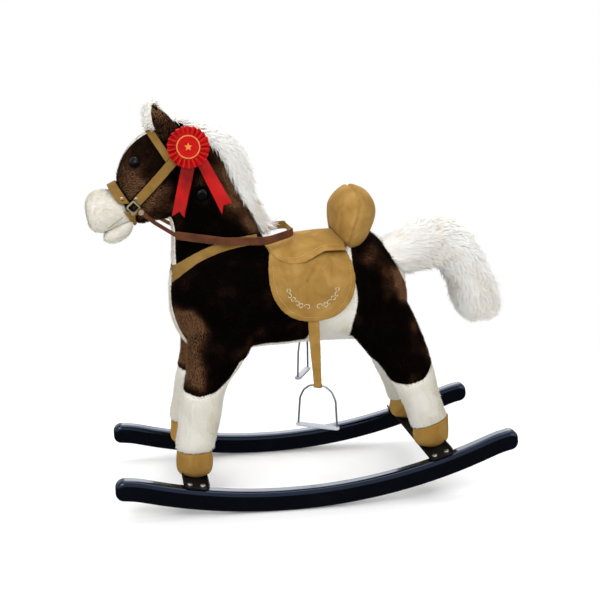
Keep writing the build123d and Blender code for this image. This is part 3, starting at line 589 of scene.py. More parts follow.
def keep_outer(bm):
    """Keep only the largest shell of a mesh."""
    shells = []
    left = set(bm.verts)
    while left:
        shell = {left.pop()}
        rim = list(shell)
        while rim:
            near = [edge.other_vert(vert) for vert in rim for edge in vert.link_edges]
            rim = [vert for vert in set(near) if vert not in shell]
            shell.update(rim)
        left -= shell
        shells.append(shell)
    shells.sort(key=len)
    for shell in shells[:-1]:
        bmesh.ops.delete(bm, geom=list(shell), context="VERTS")


def points_of(mesh):
    """Vertex places and normals of a mesh as arrays."""
    places = np.empty(len(mesh.vertices) * 3)
    normals = np.empty(len(mesh.vertices) * 3)
    mesh.vertices.foreach_get("co", places)
    mesh.vertex_normals.foreach_get("vector", normals)
    return places.reshape(-1, 3), normals.reshape(-1, 3)


def move_points(mesh, places):
    """Set the vertex places of a mesh."""
    mesh.vertices.foreach_set("co", np.ascontiguousarray(places).ravel())
    mesh.update()


def roll(places, size, seed):
    """Smooth noise from -1 to 1 with waves of a size in millimetres."""
    shift = Vector((seed, 0.37 * seed, 0.71 * seed))
    return np.array([noise.noise(Vector(place) / (size * MM) + shift) for place in places])


def ruffle_up(piece, height, size, seed):
    """Make a soft surface uneven along its normals, by a height and a wave size in millimetres."""
    places, normals = points_of(piece.data)
    move_points(piece.data, places + normals * (height * MM * roll(places, size, seed))[:, None])


def store(mesh, name, values):
    """Keep a number or a vector for each vertex of a mesh."""
    kind, field = ("FLOAT", "value") if values.ndim == 1 else ("FLOAT_VECTOR", "vector")
    layer = mesh.attributes.new(name, kind, "POINT")
    layer.data.foreach_set(field, np.ascontiguousarray(values, dtype=np.float32).ravel())


def recall(mesh, name):
    """The numbers or vectors that are kept for the vertices of a mesh."""
    layer = mesh.attributes[name]
    if layer.data_type == "FLOAT":
        values = np.empty(len(mesh.vertices), dtype=np.float32)
        layer.data.foreach_get("value", values)
        return values
    values = np.empty(len(mesh.vertices) * 3, dtype=np.float32)
    layer.data.foreach_get("vector", values)
    return values.reshape(-1, 3)


def surface_of(*pieces):
    """A search tree over the faces of some pieces."""
    places, faces = [], []
    for piece in pieces:
        start = len(places)
        places += [vert.co.copy() for vert in piece.data.vertices]
        faces += [[start + k for k in face.vertices] for face in piece.data.polygons]
    return BVHTree.FromPolygons(places, faces)


def gap_to(surface, places, far):
    """How far each place is from a surface, up to a limit, both in millimetres."""
    gaps = np.full(len(places), float(far))
    for number, place in enumerate(places):
        away = surface.find_nearest(Vector(place), far * MM)[3]
        if away is not None:
            gaps[number] = away / MM
    return gaps


def from_side(surface, x, z, side):
    """The outermost place and normal of a surface seen from one side, at x and z in millimetres."""
    start = Vector((x * MM, side * CLEAR_OF_SIDES, z * MM))
    return surface.ray_cast(start, Vector((0.0, -side, 0.0)))[:2]


def swell(piece, pressure, cap, held=None):
    """Fill a padded piece by a short cloth simulation in which no point moves further than a cap in millimetres."""
    before = points_of(piece.data)[0]
    if held is not None:
        group = piece.vertex_groups.new(name="held")
        group.add([int(k) for k in np.nonzero(held)[0]], 1.0, "REPLACE")
    cloth = piece.modifiers.new("stuffing", "CLOTH")
    cloth.settings.use_pressure = True
    cloth.settings.uniform_pressure_force = pressure
    cloth.settings.effector_weights.gravity = 0.0
    if held is not None:
        cloth.settings.vertex_group_mass = "held"
    cloth.point_cache.frame_start = 1
    cloth.point_cache.frame_end = CLOTH_FRAMES
    for step in range(1, CLOTH_FRAMES + 1):
        bpy.context.scene.frame_set(step)
    graph = bpy.context.evaluated_depsgraph_get()
    after = points_of(piece.evaluated_get(graph).data)[0]
    piece.modifiers.remove(cloth)
    piece.vertex_groups.clear()
    bpy.context.scene.frame_set(1)
    moves = after - before
    reach = np.linalg.norm(moves, axis=1)
    move_points(piece.data, before + moves * np.minimum(1.0, cap * MM / np.maximum(reach, 1e-9))[:, None])


def tuft(name, rows, bow, taper, ridge=0.0):
    """One tuft of pile, a unit long and wide at its root, bowed and tapered to a tip, flat or ridged and closed."""
    bm = bmesh.new()
    if ridge:
        rail = bmesh.ops.create_circle(bm, cap_ends=False, segments=3, radius=0.5)["verts"]
        for vert, (x, y) in zip(rail, ((-0.5, 0.0), (0.0, ridge), (0.5, 0.0))):
            vert.co = (x, y, 0.0)
    else:
        bm.edges.new([bm.verts.new((-0.5, 0.0, 0.0)), bm.verts.new((0.5, 0.0, 0.0))])
    edges = list(bm.edges)
    shrink, rise = 1.0, 0.0
    for row in range(1, rows + 1):
        rail, edges = grow_rim(bm, edges)
        before, fall = shrink, rise
        t = row / rows
        shrink = 1.0 - t ** taper
        rise = bow * math.sin(math.pi * 0.6 * t)
        for vert in rail:
            vert.co = (vert.co.x / before * shrink, (vert.co.y - fall) / before * shrink + rise, t)
    bmesh.ops.remove_doubles(bm, verts=bm.verts, dist=1e-4)
    if ridge:
        bmesh.ops.recalc_face_normals(bm, faces=bm.faces)
    bm.normal_update()
    if not ridge and sum(face.normal.y for face in bm.faces) < 0:
        bmesh.ops.reverse_faces(bm, faces=bm.faces)
    return bpy.data.objects.new(name, mesh_from(bm, name))


def grow_pile(name, base, cover, blade, density, size, shades, rise, spread, seed):
    """Scatter tufts over a piece, laid along its nap, and keep them as one mesh piece of several shades.

    The density is in tufts to a square centimetre, and size is a tuft's width and length in metres.
    """
    width, reach = size
    tree = bpy.data.node_groups.new(name, "GeometryNodeTree")
    tree.interface.new_socket("Geometry", in_out="INPUT", socket_type="NodeSocketGeometry")
    tree.interface.new_socket("Geometry", in_out="OUTPUT", socket_type="NodeSocketGeometry")
    source = add_node(tree, "NodeGroupInput")
    where = add_node(tree, "GeometryNodeInputNamedAttribute", {"data_type": "FLOAT"}, {"Name": cover})
    thick = add_node(
        tree, "ShaderNodeMath", {"operation": "MULTIPLY"}, {0: where.outputs["Attribute"], 1: density * PER_CM2}
    )
    roots = add_node(
        tree, "GeometryNodeDistributePointsOnFaces", {"distribute_method": "RANDOM"},
        {"Mesh": source.outputs[0], "Density": thick.outputs[0], "Seed": seed},
    )
    spot = add_node(tree, "GeometryNodeInputPosition")
    mottle = add_node(tree, "ShaderNodeTexNoise", inputs={
        "Vector": spot.outputs[0], "Scale": per_metre(50.0), "Detail": 1.5, "Roughness": 0.5,
    })
    chance = add_node(
        tree, "FunctionNodeRandomValue", {"data_type": "FLOAT"}, {2: -PILE_SPECK, 3: PILE_SPECK, "Seed": seed + 1}
    )
    # The painted sheen kept on the skin lifts a tuft's shade, on top of its random mottle.
    painted_sheen_level = add_node(tree, "GeometryNodeInputNamedAttribute", {"data_type": "FLOAT"}, {"Name": "warm"})
    uneven = add_node(
        tree, "ShaderNodeMath", {"operation": "ADD"}, {0: mottle.outputs["Fac"], 1: chance.outputs[1]}
    )
    gentle = add_node(
        tree, "ShaderNodeMapRange", {"clamp": False},
        {"Value": uneven.outputs[0], "From Min": 0.0, "From Max": 1.0, "To Min": 0.15, "To Max": 0.85},
    )
    shade = add_node(
        tree, "ShaderNodeMath", {"operation": "ADD"}, {0: gentle.outputs[0], 1: painted_sheen_level.outputs["Attribute"]}
    )
    marked = add_node(
        tree, "GeometryNodeStoreNamedAttribute", {"data_type": "FLOAT", "domain": "POINT"},
        {"Geometry": roots.outputs["Points"], "Name": "shade", "Value": shade.outputs[0]},
    )
    standing = add_node(
        tree, "GeometryNodeStoreNamedAttribute", {"data_type": "FLOAT_VECTOR", "domain": "POINT"},
        {"Geometry": marked.outputs[0], "Name": "upright", "Value": roots.outputs["Normal"]},
    )
    lay = add_node(tree, "GeometryNodeInputNamedAttribute", {"data_type": "FLOAT_VECTOR"}, {"Name": "lay"})
    stray = add_node(
        tree, "FunctionNodeRandomValue", {"data_type": "FLOAT_VECTOR"},
        {0: (-spread,) * 3, 1: (spread,) * 3, "Seed": seed + 2},
    )
    lifted = add_node(
        tree, "ShaderNodeVectorMath", {"operation": "MULTIPLY_ADD"},
        {0: roots.outputs["Normal"], 1: (rise,) * 3, 2: lay.outputs["Attribute"]},
    )
    heading = add_node(
        tree, "ShaderNodeVectorMath", {"operation": "ADD"}, {0: lifted.outputs[0], 1: stray.outputs[0]}
    )
    twist = add_node(
        tree, "FunctionNodeRandomValue", {"data_type": "FLOAT_VECTOR"},
        {0: (-PILE_TWIST,) * 3, 1: (PILE_TWIST,) * 3, "Seed": seed + 3},
    )
    facing = add_node(
        tree, "ShaderNodeVectorMath", {"operation": "ADD"}, {0: roots.outputs["Normal"], 1: twist.outputs[0]}
    )
    turn = add_node(
        tree, "FunctionNodeAxesToRotation", {"primary_axis": "Z", "secondary_axis": "Y"},
        {"Primary Axis": heading.outputs[0], "Secondary Axis": facing.outputs[0]},
    )
    full = add_node(tree, "GeometryNodeInputNamedAttribute", {"data_type": "FLOAT"}, {"Name": "pile"})
    vary = add_node(
        tree, "FunctionNodeRandomValue", {"data_type": "FLOAT"},
        {2: PILE_SHARES[0], 3: PILE_SHARES[1], "Seed": seed + 4},
    )
    grown = add_node(
        tree, "ShaderNodeMath", {"operation": "MULTIPLY"}, {0: full.outputs["Attribute"], 1: vary.outputs[1]}
    )
    tall = add_node(tree, "ShaderNodeMath", {"operation": "MULTIPLY"}, {0: grown.outputs[0], 1: reach})
    scale = add_node(tree, "ShaderNodeCombineXYZ", inputs={"X": width, "Y": tall.outputs[0], "Z": tall.outputs[0]})
    shape = add_node(tree, "GeometryNodeObjectInfo", inputs={"Object": blade})
    tufts = add_node(tree, "GeometryNodeInstanceOnPoints", inputs={
        "Points": standing.outputs[0], "Instance": shape.outputs["Geometry"],
        "Rotation": turn.outputs[0], "Scale": scale.outputs[0],
    })
    real = add_node(tree, "GeometryNodeRealizeInstances", inputs={"Geometry": tufts.outputs[0]})
    add_node(tree, "NodeGroupOutput", inputs={0: real.outputs[0]})
    piece = new_piece(name, base.data.copy(), [])
    piece.modifiers.new("pile", "NODES").node_group = tree
    settle(piece)
    mesh = piece.data
    mesh.materials.clear()
    for material in shades:
        mesh.materials.append(material)
    corners = np.empty(len(mesh.loops), dtype=np.int32)
    mesh.loops.foreach_get("vertex_index", corners)
    first = np.empty(len(mesh.polygons), dtype=np.int32)
    mesh.polygons.foreach_get("loop_start", first)
    steps = np.linspace(*PILE_TONES, len(shades) + 1)[1:-1]
    tones = recall(mesh, "shade")[corners[first]]
    mesh.polygons.foreach_set("material_index", np.searchsorted(steps, tones).astype(np.int32))
    # Each tuft takes the normal of the skin under it, so that the pile is lit as one surface.
    upright = recall(mesh, "upright")
    for layer in [layer.name for layer in mesh.attributes if not layer.is_internal and not layer.is_required]:
        if layer in ("shade", "upright", "lay", "pile", "warm", "white_edge") or layer.startswith("cover"):
            mesh.attributes.remove(mesh.attributes[layer])
    mesh.polygons.foreach_set("use_smooth", np.ones(len(mesh.polygons), dtype=bool))
    mesh.update()
    mesh.normals_split_custom_set_from_vertices(upright)


def pinto_edge(places, normals):
    """Distance in millimetres from each place to the edge of the white plush, positive on the white side."""
    x, y, z = (places / MM).T
    nx, _, nz = normals.T
    side = np.abs(y)
    strip = np.interp(z, [250, 330, 420, 480], [40, 32, 24, 19])
    chest = np.minimum.reduce([strip - side, 45 * (-nx - 0.1), 492 - z, -165 - x])
    belly = np.minimum.reduce([70 * (-nz - 0.88), 300 - z, x + 150, 120 - x])
    girth = np.minimum(x + 4, 74.5 - x) + 3.0 * np.sin(z / 17.0)
    girth = np.minimum.reduce([girth, 441 - z, z - 200])
    rump = 0.8 * (x - np.interp(z, [350, 364, 389, 413, 438, 459, 480], [188, 176, 162, 149, 133, 110, 84]))
    rump = np.minimum(rump, z - 352)
    brow = np.interp(z, [575, 605, 640], [-4, 9, 22])
    blaze = np.minimum.reduce([brow - side, 40 * (nz * 0.6 - nx - 0.2), -228 - x, z - 505])
    fore = np.interp(x, [-230, -213, -192, -164, -140, -122], [207, 199, 195, 202, 221, 250]) - z
    hind = np.interp(x, [130, 149, 167, 194, 215, 240], [202, 197, 197, 206, 231, 264]) - z
    socks = np.where(x < 0, fore, hind)
    return np.maximum.reduce([chest, belly, girth, rump, blaze, socks])


def heel_rise(places):
    """How far the seam between a hind sock and its hoof climbs towards the heel, in metres."""
    x, _, z = (places / MM).T
    near = np.clip(1 - np.abs(z - 120) / 26, 0, 1) * (x > 120)
    return 0.38 * (x - 217) * near * MM


def painted_nap_sheen(places):
    """How far the brown nap is coloured lighter as painted sheen: dark on the flanks, lighter on head, crest, chest and
    rump where light grazes it.
    """
    x, _, z = (places / MM).T
    painted_sheen_level = np.full(len(places), -0.12)
    for spot_x, spot_z, reach, gain in PAINTED_SHEEN_SPOTS:
        painted_sheen_level += gain * np.exp(-((x - spot_x) ** 2 + (z - spot_z) ** 2) / reach ** 2)
    return painted_sheen_level


def nap_lay(normals, flow):
    """Directions along a surface nearest to a flow, as unit vectors."""
    along = flow - normals * np.sum(flow * normals, axis=1)[:, None]
    return along / np.maximum(np.linalg.norm(along, axis=1), 1e-6)[:, None]


def guide_flow(places, guide):
    """Direction of the nearest stretch of a guide line, given in millimetres, at each place."""
    points = np.array(guide) * MM
    best = np.full(len(places), np.inf)
    flow = np.zeros_like(places)
    for start, end in zip(points[:-1], points[1:]):
        run = end - start
        t = np.clip((places - start) @ run / (run @ run), 0, 1)
        gap = np.linalg.norm(places - start - t[:, None] * run, axis=1)
        near = gap < best
        best = np.where(near, gap, best)
        flow[near] = run / np.linalg.norm(run)
    return flow


def stitch_row(name, places, material, size=(1.5, 0.35), lift=0.15):
    """Short thread stitches along a row of (place, normal) pairs that lie on a surface.

    Size is half a stitch's length and half its thickness, and lift its height off the surface, in millimetres.
    """
    bm = bmesh.new()
    for (here, up), (there, _) in zip(places[:-1], places[1:]):
        run = there - here
        if run.length < MERGE:
            continue
        along, across = run.normalized(), up.cross(run).normalized()
        turn = Matrix((along, across, along.cross(across))).transposed().to_4x4()
        middle = Matrix.Translation((here + there) / 2 + up * lift * MM)
        half = Matrix.Diagonal((min(size[0] * MM, run.length * 0.42), size[1] * MM, size[1] * MM, 1.0))
        bmesh.ops.create_icosphere(bm, subdivisions=1, radius=1.0, matrix=middle @ turn @ half)
    new_piece(name, mesh_from(bm, name), [material])


def along_path(points, pitch):
    """Even places along a line of (x, z) points in millimetres."""
    points = np.array(points, dtype=float)
    runs = np.linalg.norm(np.diff(points, axis=0), axis=1)
    reach = np.concatenate([[0.0], np.cumsum(runs)])
    steps = np.linspace(0.0, reach[-1], max(2, int(reach[-1] / pitch) + 1))
    return np.stack([np.interp(steps, reach, points[:, k]) for k in (0, 1)], axis=1)


def sewn_line(name, surface, points, side, material, pitch, **kind):
    """A stitched row on a surface along (x, z) points seen from one side, a pitch in millimetres apart."""
    found = [from_side(surface, x, z, side) for x, z in along_path(points, pitch)]
    found = [(place, normal) for place, normal in found if place is not None]
    stitch_row(name, found, material, **kind)


class HORSE_OT_stage(bpy.types.Operator):
    """Lay the pale floor, set the soft light and the camera"""

    bl_idname = "horse.stage"
    bl_label = "Stage"

    def execute(self, context):
        scene = context.scene
        look = scene.horse_stage
        scene.view_settings.view_transform = "Standard"
        self.lay_floor(scene, look)
        self.fill_air(scene, look)
        self.hang_lamps(scene)
        self.set_camera(scene, look)
        return {"FINISHED"}

    def lay_floor(self, scene, look):
        bm = bmesh.new()
        bmesh.ops.create_circle(bm, cap_ends=True, segments=96, radius=14.0)
        mesh = mesh_from(bm, "studio_floor")
        floor = bpy.data.objects.new("studio_floor", mesh)
        scene.collection.objects.link(floor)
        material, tree, shader = start_material(
            "pale_floor_paint", Base_Color=look.floor, Roughness=0.9, Specular_IOR_Level=0.1
        )
        # The camera sees it fade to white away from the horse, and gloss sees it dim, so that the lacquer stays black.
        path = add_node(tree, "ShaderNodeLightPath")
        seen = add_node(
            tree, "ShaderNodeMath", {"operation": "MAXIMUM"},
            {0: path.outputs["Is Camera Ray"], 1: path.outputs["Is Transmission Ray"]},
        )
        place = add_node(tree, "ShaderNodeTexCoord").outputs["Object"]
        away = add_node(tree, "ShaderNodeVectorMath", {"operation": "LENGTH"}, {0: place})
        far = add_node(
            tree, "ShaderNodeMapRange", {"interpolation_type": "SMOOTHSTEP"},
            {"Value": away.outputs["Value"], "From Min": 0.35, "From Max": 1.3, "To Min": 0.12, "To Max": 1.0},
        )
        bright = add_node(tree, "ShaderNodeMath", {"operation": "MULTIPLY"}, {0: seen.outputs[0], 1: far.outputs[0]})
        white = add_node(tree, "ShaderNodeEmission", inputs={"Strength": 1.0})
        both = add_node(
            tree, "ShaderNodeMixShader", inputs={0: bright.outputs[0], 1: shader.outputs[0], 2: white.outputs[0]}
        )
        dim = add_node(tree, "ShaderNodeEmission", inputs={"Strength": 0.06})
        add_node(
            tree, "ShaderNodeMixShader",
            inputs={0: path.outputs["Is Glossy Ray"], 1: both.outputs[0], 2: dim.outputs[0]},
            feeds=tree.nodes["Material Output"].inputs["Surface"],
        )
        mesh.materials.append(material)

    def fill_air(self, scene, look):
        scene.world = bpy.data.worlds.new("studio_air")
        scene.world.use_nodes = True
        tree = scene.world.node_tree
        background = tree.nodes["Background"]
        path = add_node(tree, "ShaderNodeLightPath")
        seen = add_node(
            tree, "ShaderNodeMath", {"operation": "MAXIMUM"},
            {0: path.outputs["Is Camera Ray"], 1: path.outputs["Is Glossy Ray"]},
        )
        add_node(
            tree, "ShaderNodeMapRange", inputs={"Value": seen.outputs[0], "To Min": look.ambient, "To Max": 1.0},
            feeds=background.inputs["Strength"],
        )
        cool = add_node(
            tree, "ShaderNodeMix", {"data_type": "RGBA"},
            {0: path.outputs["Is Glossy Ray"], 6: linear("#ffffff"), 7: linear("#f1f8ff")},
        )
        tree.links.new(cool.outputs[2], background.inputs["Color"])

    def hang_lamps(self, scene):
        for name, (place, size, power) in LAMPS.items():
            light = bpy.data.lights.new(name, "AREA")
            light.size = size
            light.energy = power
            lamp = bpy.data.objects.new(name, light)
            turn = (Vector(LAMP_AIM) - Vector(place)).to_track_quat("-Z", "Y")
            lamp.matrix_world = Matrix.Translation(place) @ turn.to_matrix().to_4x4()
            scene.collection.objects.link(lamp)

    def set_camera(self, scene, look):
        lens = bpy.data.cameras.new("camera")
        lens.lens = look.lens
        lens.sensor_width = 36.0
        lens.clip_end = 60.0
        camera = bpy.data.objects.new("camera", lens)
        turn, tilt = look.azimuth, look.elevation
        ahead = Vector((math.sin(turn) * math.cos(tilt), math.cos(turn) * math.cos(tilt), -math.sin(tilt)))
        camera.location = look.eye
        camera.rotation_euler = ahead.to_track_quat("-Z", "Y").to_euler()
        scene.collection.objects.link(camera)
        scene.camera = camera


class HORSE_OT_base(bpy.types.Operator):
    """Finish the rockers, crossbars and their fixings"""

    bl_idname = "horse.base"
    bl_label = "Rocker base"

    def execute(self, context):
        look = context.scene.horse_base
        finish_nodes(lacquer(look), "rocker_lacquer", "left_rocker", "right_rocker")
        steel = powder_coat(look)
        finish_nodes(steel, "black_steel", "front_crossbar", "rear_crossbar", "front_leg_frame", "rear_leg_frame")
        zinc = plated("zinc_plated_steel", look.zinc, roughness=0.28)
        finish_nodes(zinc, "zinc_steel", "crossbar_screws", "hoof_bolts", "hoof_washers", "spine_bolts", "neck_post")
        finish_nodes(plywood(look), "plywood", "spine_board")
        gloss = moulded("black_gloss_plastic", look.black_plastic, roughness=0.06, shine=0.14)
        finish_nodes(gloss, "black_plastic", "eyes", "neck_button")
        shell = moulded("black_plastic_shell", look.black_plastic, roughness=0.5)
        finish_nodes(shell, "black_plastic", "sound_unit")
        bright = plated("bright_plated_steel", look.steel, roughness=0.34)
        finish_nodes(bright, "bright_steel", "left_stirrup_iron", "right_stirrup_iron", "strap_rivets")
        nickel = plated("warm_nickel_plate", look.nickel, roughness=0.32)
        finish_nodes(nickel, "bright_steel", "bridle_rivets", "bit_rings", "rein_studs")
        tread = moulded("grey_tread_plastic", look.grey_plastic, roughness=0.45)
        finish_nodes(tread, "grey_plastic", "left_stirrup_tread", "right_stirrup_tread")
        return {"FINISHED"}


class HORSE_OT_saddle(bpy.types.Operator):
    """Pad the saddle seat, flaps and cantle, and sew them"""

    bl_idname = "horse.saddle"
    bl_label = "Saddle"

    def execute(self, context):
        look = context.scene.horse_tack
        hide = suede(look, "tan_suede", dye=0.9)
        pale = suede(look, "tan_suede_brushed", dye=1.0)
        sewing = thread("tan_sewing_thread", linear("#c7a872"))
        self.seat(pale, sewing, look)
        self.flaps(hide, sewing, look)
        self.cantle(hide, pale, thread("brown_seam_thread", linear("#6b4a1e")))
        return {"FINISHED"}

    def held_on(self, piece, *nodes):
        """Which points of a piece rest on some nodes."""
        under = surface_of(*(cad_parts[node] for node in nodes))
        return gap_to(under, points_of(piece.data)[0], far=6) < 5

    def seat(self, hide, sewing, look):
        seat = soft_form("saddle_seat_pad", ["saddle_seat"], [hide], voxel=2.6, relax=4)
        ruffle_up(seat, height=1.2, size=26, seed=3.0)
        held = self.held_on(seat, "body", "left_saddle_flap", "right_saddle_flap")
        swell(seat, pressure=2.5, cap=3.0, held=held)
        skin = surface_of(seat)
        for word, side in SIDES.items():
            sewn_line(f"{word}_seat_hem_stitches", skin, SEAT_HEM, side, sewing, pitch=look.stitch / MM)

    def flaps(self, hide, sewing, look):
        groove, lip_at, lip = 2.2, 6.5, 3.5
        for word, side in SIDES.items():
            flap = soft_form(
                f"{word}_flap_panel", [f"{word}_saddle_flap"], [hide], voxel=1.8, relax=3
            )
            places, normals = points_of(flap.data)
            x, _, z = (places / MM).T
            drape = np.zeros(len(places))
            for (ax, az), (bx, bz), depth in FLAP_CREASES:
                run = np.array([bx - ax, bz - az], dtype=float)
                t = np.clip(((x - ax) * run[0] + (z - az) * run[1]) / (run @ run), 0, 1)
                gap = np.hypot(x - ax - t * run[0], z - az - t * run[1])
                drape += -depth * np.exp(-(gap / groove) ** 2) + 0.5 * depth * np.exp(-((gap - lip_at) / lip) ** 2)
            outside = np.clip(normals[:, 1] * side, 0, 1)
            drape = drape * outside + 0.5 * roll(places, size=20, seed=5.0) * outside
            move_points(flap.data, places + normals * (drape * MM)[:, None])
            skin = surface_of(flap)
            sewn_line(f"{word}_flap_rim_stitches", skin, FLAP_RIM, side, sewing, pitch=look.stitch / MM)
            self.embroider(word, side, skin, look)

    def embroider(self, word, side, skin, look):
        line = bpy.data.curves.new(f"{word}_flap_embroidery", "CURVE")
        line.dimensions = "3D"
        line.bevel_depth = 0.55 * MM
        line.bevel_resolution = 1
        for hand in (-1, 1):
            for cx, cz, turn, size in FLAP_SPRIGS:
                for shape in ("scroll", "upper_leaf", "lower_leaf"):
                    marks = []
                    for px, pz in self.sprig_line(shape):
                        ax = size * (px * math.cos(turn) - pz * math.sin(turn))
                        az = size * (px * math.sin(turn) + pz * math.cos(turn))
                        place, normal = from_side(skin, hand * (cx + ax), cz + az, side)
                        if place is not None:
                            marks.append(place + normal * 0.2 * MM)
                    spline = line.splines.new("POLY")
                    spline.points.add(len(marks) - 1)
                    for point, place in zip(spline.points, marks):
                        point.co = (*place, 1.0)
        made = bpy.data.objects.new("embroidery_line", line)
        bpy.context.scene.collection.objects.link(made)
        graph = bpy.context.evaluated_depsgraph_get()
        mesh = bpy.data.meshes.new_from_object(made.evaluated_get(graph))
        bpy.data.objects.remove(made)
        cotton = bpy.data.materials.get("embroidery_thread") or thread("embroidery_thread", look.thread)
        new_piece(f"{word}_flap_embroidery", mesh, [cotton])

    def sprig_line(self, shape):
        """Points of a scroll or a leaf about a sprig's root, in millimetres."""
        steps = np.linspace(0.0, 1.0, 13)
        if shape == "scroll":
            return [((6.5 - 5.0 * t) * math.cos(4.6 * t) - 6.5, (6.5 - 5.0 * t) * math.sin(4.6 * t)) for t in steps]
        bend = 1.0 if shape == "upper_leaf" else -1.0
        return [(2.0 + 6.0 * t, bend * (1.0 + 3.2 * math.sin(math.pi * t))) for t in steps]

    def cantle(self, hide, pale, seaming):
        cantle = soft_form("cantle_cushion", ["cantle"], [hide, pale], voxel=2.4, relax=4)
        swell(cantle, pressure=4.0, cap=5.0, held=self.held_on(cantle, "saddle_seat", "body"))
        places, normals = points_of(cantle.data)
        x, y, z = (places / MM).T
        seam = x - np.interp(z, *CANTLE_SEAM)
        pinch = -3.0 * np.exp(-(seam / 2.6) ** 2) + 0.8 * np.exp(-((np.abs(seam) - 7) / 4) ** 2)
        pucker = 0.5 * np.sin(np.arctan2(z - 475, y) * 26) * np.exp(-(seam / 9.0) ** 2)
        puff = 1.0 * roll(places, size=30, seed=9.0)
        move_points(cantle.data, places + normals * ((pinch + pucker + puff) * MM)[:, None])
        for face in cantle.data.polygons:
            centre = face.center / MM
            face.material_index = int(centre.x < np.interp(centre.z, *CANTLE_SEAM))
        skin = surface_of(cantle)
        line = [(np.interp(z, *CANTLE_SEAM), z) for z in range(430, 534, 4)]
        for word, side in SIDES.items():
            sewn_line(f"{word}_cantle_seam_stitches", skin, line, side, seaming, pitch=3.6, size=(1.5, 0.4))


class HORSE_OT_bridle(bpy.types.Operator):
    """Cut the bridle bands, the breast collar, the reins and the stirrup straps from suede and leather"""

    bl_idname = "horse.bridle"
    bl_label = "Bridle, collar, reins and straps"

    def execute(self, context):
        look = context.scene.horse_tack
        hide = suede(look, "tan_suede_strap", dye=0.92)
        band_hide = suede(look, "tan_suede_band", dye=0.68)
        for node in BANDS:
            band = soft_form(f"{node}_suede", [node], [band_hide], voxel=1.0, relax=3)
            ruffle_up(band, height=0.25, size=9, seed=4.0)
        reins = soft_form(
            "reins_strap", ["reins"], [rein_leather(look), hide], voxel=1.0, relax=2, body="reins"
        )
        # The side of the reins that is turned to the neck is suede.
        for face in reins.data.polygons:
            centre, normal = face.center / MM, face.normal
            away = Vector((max(0.0, centre.x + 70) * 1.5, centre.y, 0.0))
            face.material_index = int(normal.dot(away) < 0 or normal.z < -0.6)
        for word in SIDES:
            strap = soft_form(
                f"{word}_stirrup_leather", [f"{word}_stirrup_strap"], [hide], voxel=1.0, relax=2,
                body=f"{word}_strap",
            )
            ruffle_up(strap, height=0.25, size=14, seed=6.0)
        return {"FINISHED"}


